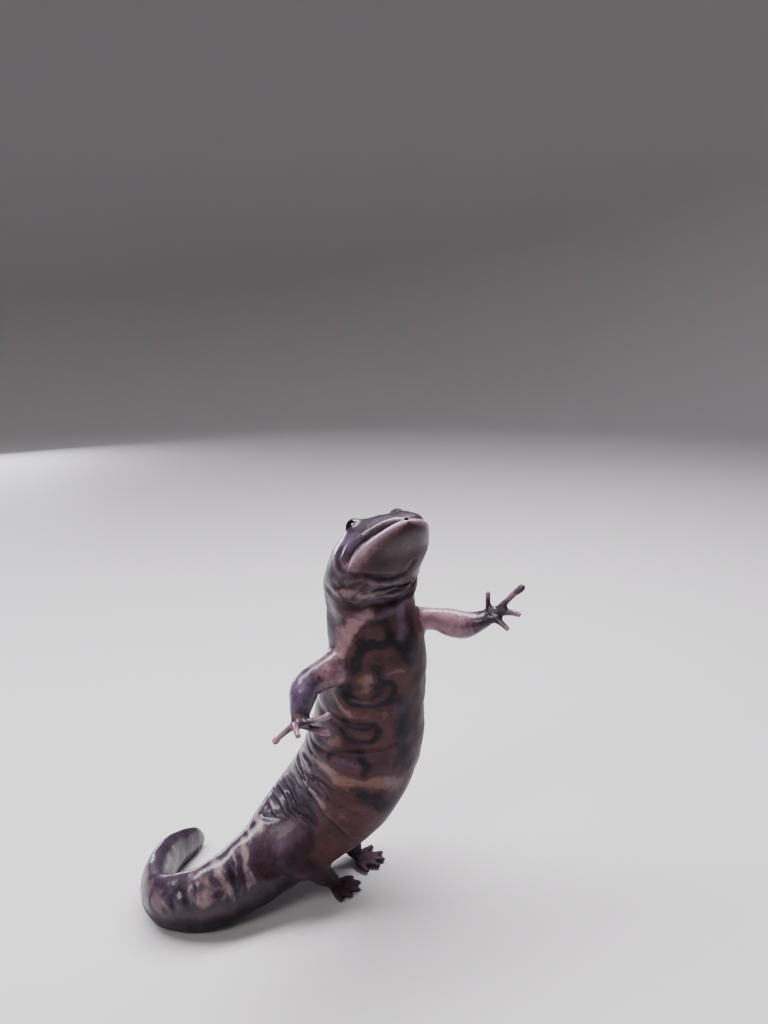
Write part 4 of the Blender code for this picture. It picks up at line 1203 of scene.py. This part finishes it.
class SALAMANDER_OT_studio(bpy.types.Operator):
    """Make the pale floor and backdrop, the soft lights and the camera"""

    bl_idname = "salamander.studio"
    bl_label = "Studio"

    def execute(self, context):
        studio = context.scene.salamander_studio
        flat, curve, height = 0.9, 0.4, 1.5
        bend = np.linspace(0, np.pi / 2, 16)
        out = np.concatenate([[0.05, 0.3, 0.6], flat + curve * np.sin(bend), [flat + curve]])
        up = np.concatenate([[0.0, 0.0, 0.0], curve * (1 - np.cos(bend)), [height]])
        angle = np.linspace(0, 2 * np.pi, 96, endpoint=False)
        rings = np.stack([
            out[:, None] * np.cos(angle), out[:, None] * np.sin(angle), np.broadcast_to(up[:, None], (len(up), 96)),
        ], axis=-1)
        points = np.concatenate([rings.reshape(-1, 3), [[0.0, 0.0, 0.0]]])
        faces = tube_faces(len(up), 96)[:-96]
        floor = object_of("floor", points, faces)
        floor.data.shade_smooth()
        floor.data.materials.append(plain_material("pale_floor", studio.floor, 0.7))
        aim = (0.0, 0.0, 0.055)
        add_light("key", (-0.08, 0.12, 0.5), aim, (0.68, 0.15), studio.key_power, (0.97, 0.94, 1.0))
        add_light("fill", (-0.26, -0.42, 0.48), aim, (0.2, 0.2), studio.fill_power, (1.0, 0.97, 0.96))
        add_light("rim", (0.27, 0.24, 0.46), aim, (0.2, 0.08), studio.key_power * 0.1, (0.97, 0.94, 1.0))
        add_light("side", (-0.42, 0.66, 0.1), aim, (0.24, 0.1), studio.key_power * 0.14, (0.93, 0.89, 1.0))
        world = bpy.data.worlds.new("studio")
        world.use_nodes = True
        world.node_tree.nodes["Background"].inputs["Color"].default_value = (0.9, 0.9, 0.95, 1.0)
        world.node_tree.nodes["Background"].inputs["Strength"].default_value = 0.12
        context.scene.world = world
        data = bpy.data.cameras.new("camera")
        data.sensor_width = 36.0
        data.lens = studio.lens
        data.clip_start = 0.01
        data.clip_end = 10.0
        camera = bpy.data.objects.new("camera", data)
        camera.location = (np.array([0.0, -212.0, 148.0]) + frame_shift()) * MM
        camera.rotation_euler = (np.pi / 2 - studio.pitch, 0, 0)
        context.scene.collection.objects.link(camera)
        context.scene.camera = camera
        return {"FINISHED"}


class SALAMANDER_PT_panel(bpy.types.Panel):
    """Lists the steps and their settings"""

    bl_idname = "SALAMANDER_PT_panel"
    bl_label = "Tiger Salamander"
    bl_space_type = "VIEW_3D"
    bl_region_type = "UI"
    bl_category = "Salamander"

    def draw(self, context):
        layout = self.layout
        for operator in OPERATORS:
            layout.operator(operator.bl_idname)
        for settings in (context.scene.salamander_look, context.scene.salamander_studio):
            for name in settings.__annotations__:
                layout.prop(settings, name)


OPERATORS = (SALAMANDER_OT_skin, SALAMANDER_OT_eyes, SALAMANDER_OT_studio)
CLASSES = (SalamanderLook, StudioSettings, *OPERATORS, SALAMANDER_PT_panel)


def register():
    for item in CLASSES:
        bpy.utils.register_class(item)
    bpy.types.Scene.salamander_look = bpy.props.PointerProperty(type=SalamanderLook)
    bpy.types.Scene.salamander_studio = bpy.props.PointerProperty(type=StudioSettings)


def unregister():
    del bpy.types.Scene.salamander_studio
    del bpy.types.Scene.salamander_look
    for item in reversed(CLASSES):
        bpy.utils.unregister_class(item)


def main():
    register()
    bpy.ops.salamander.skin()
    bpy.ops.salamander.eyes()
    bpy.ops.salamander.studio()


if __name__ == "__main__":
    main()
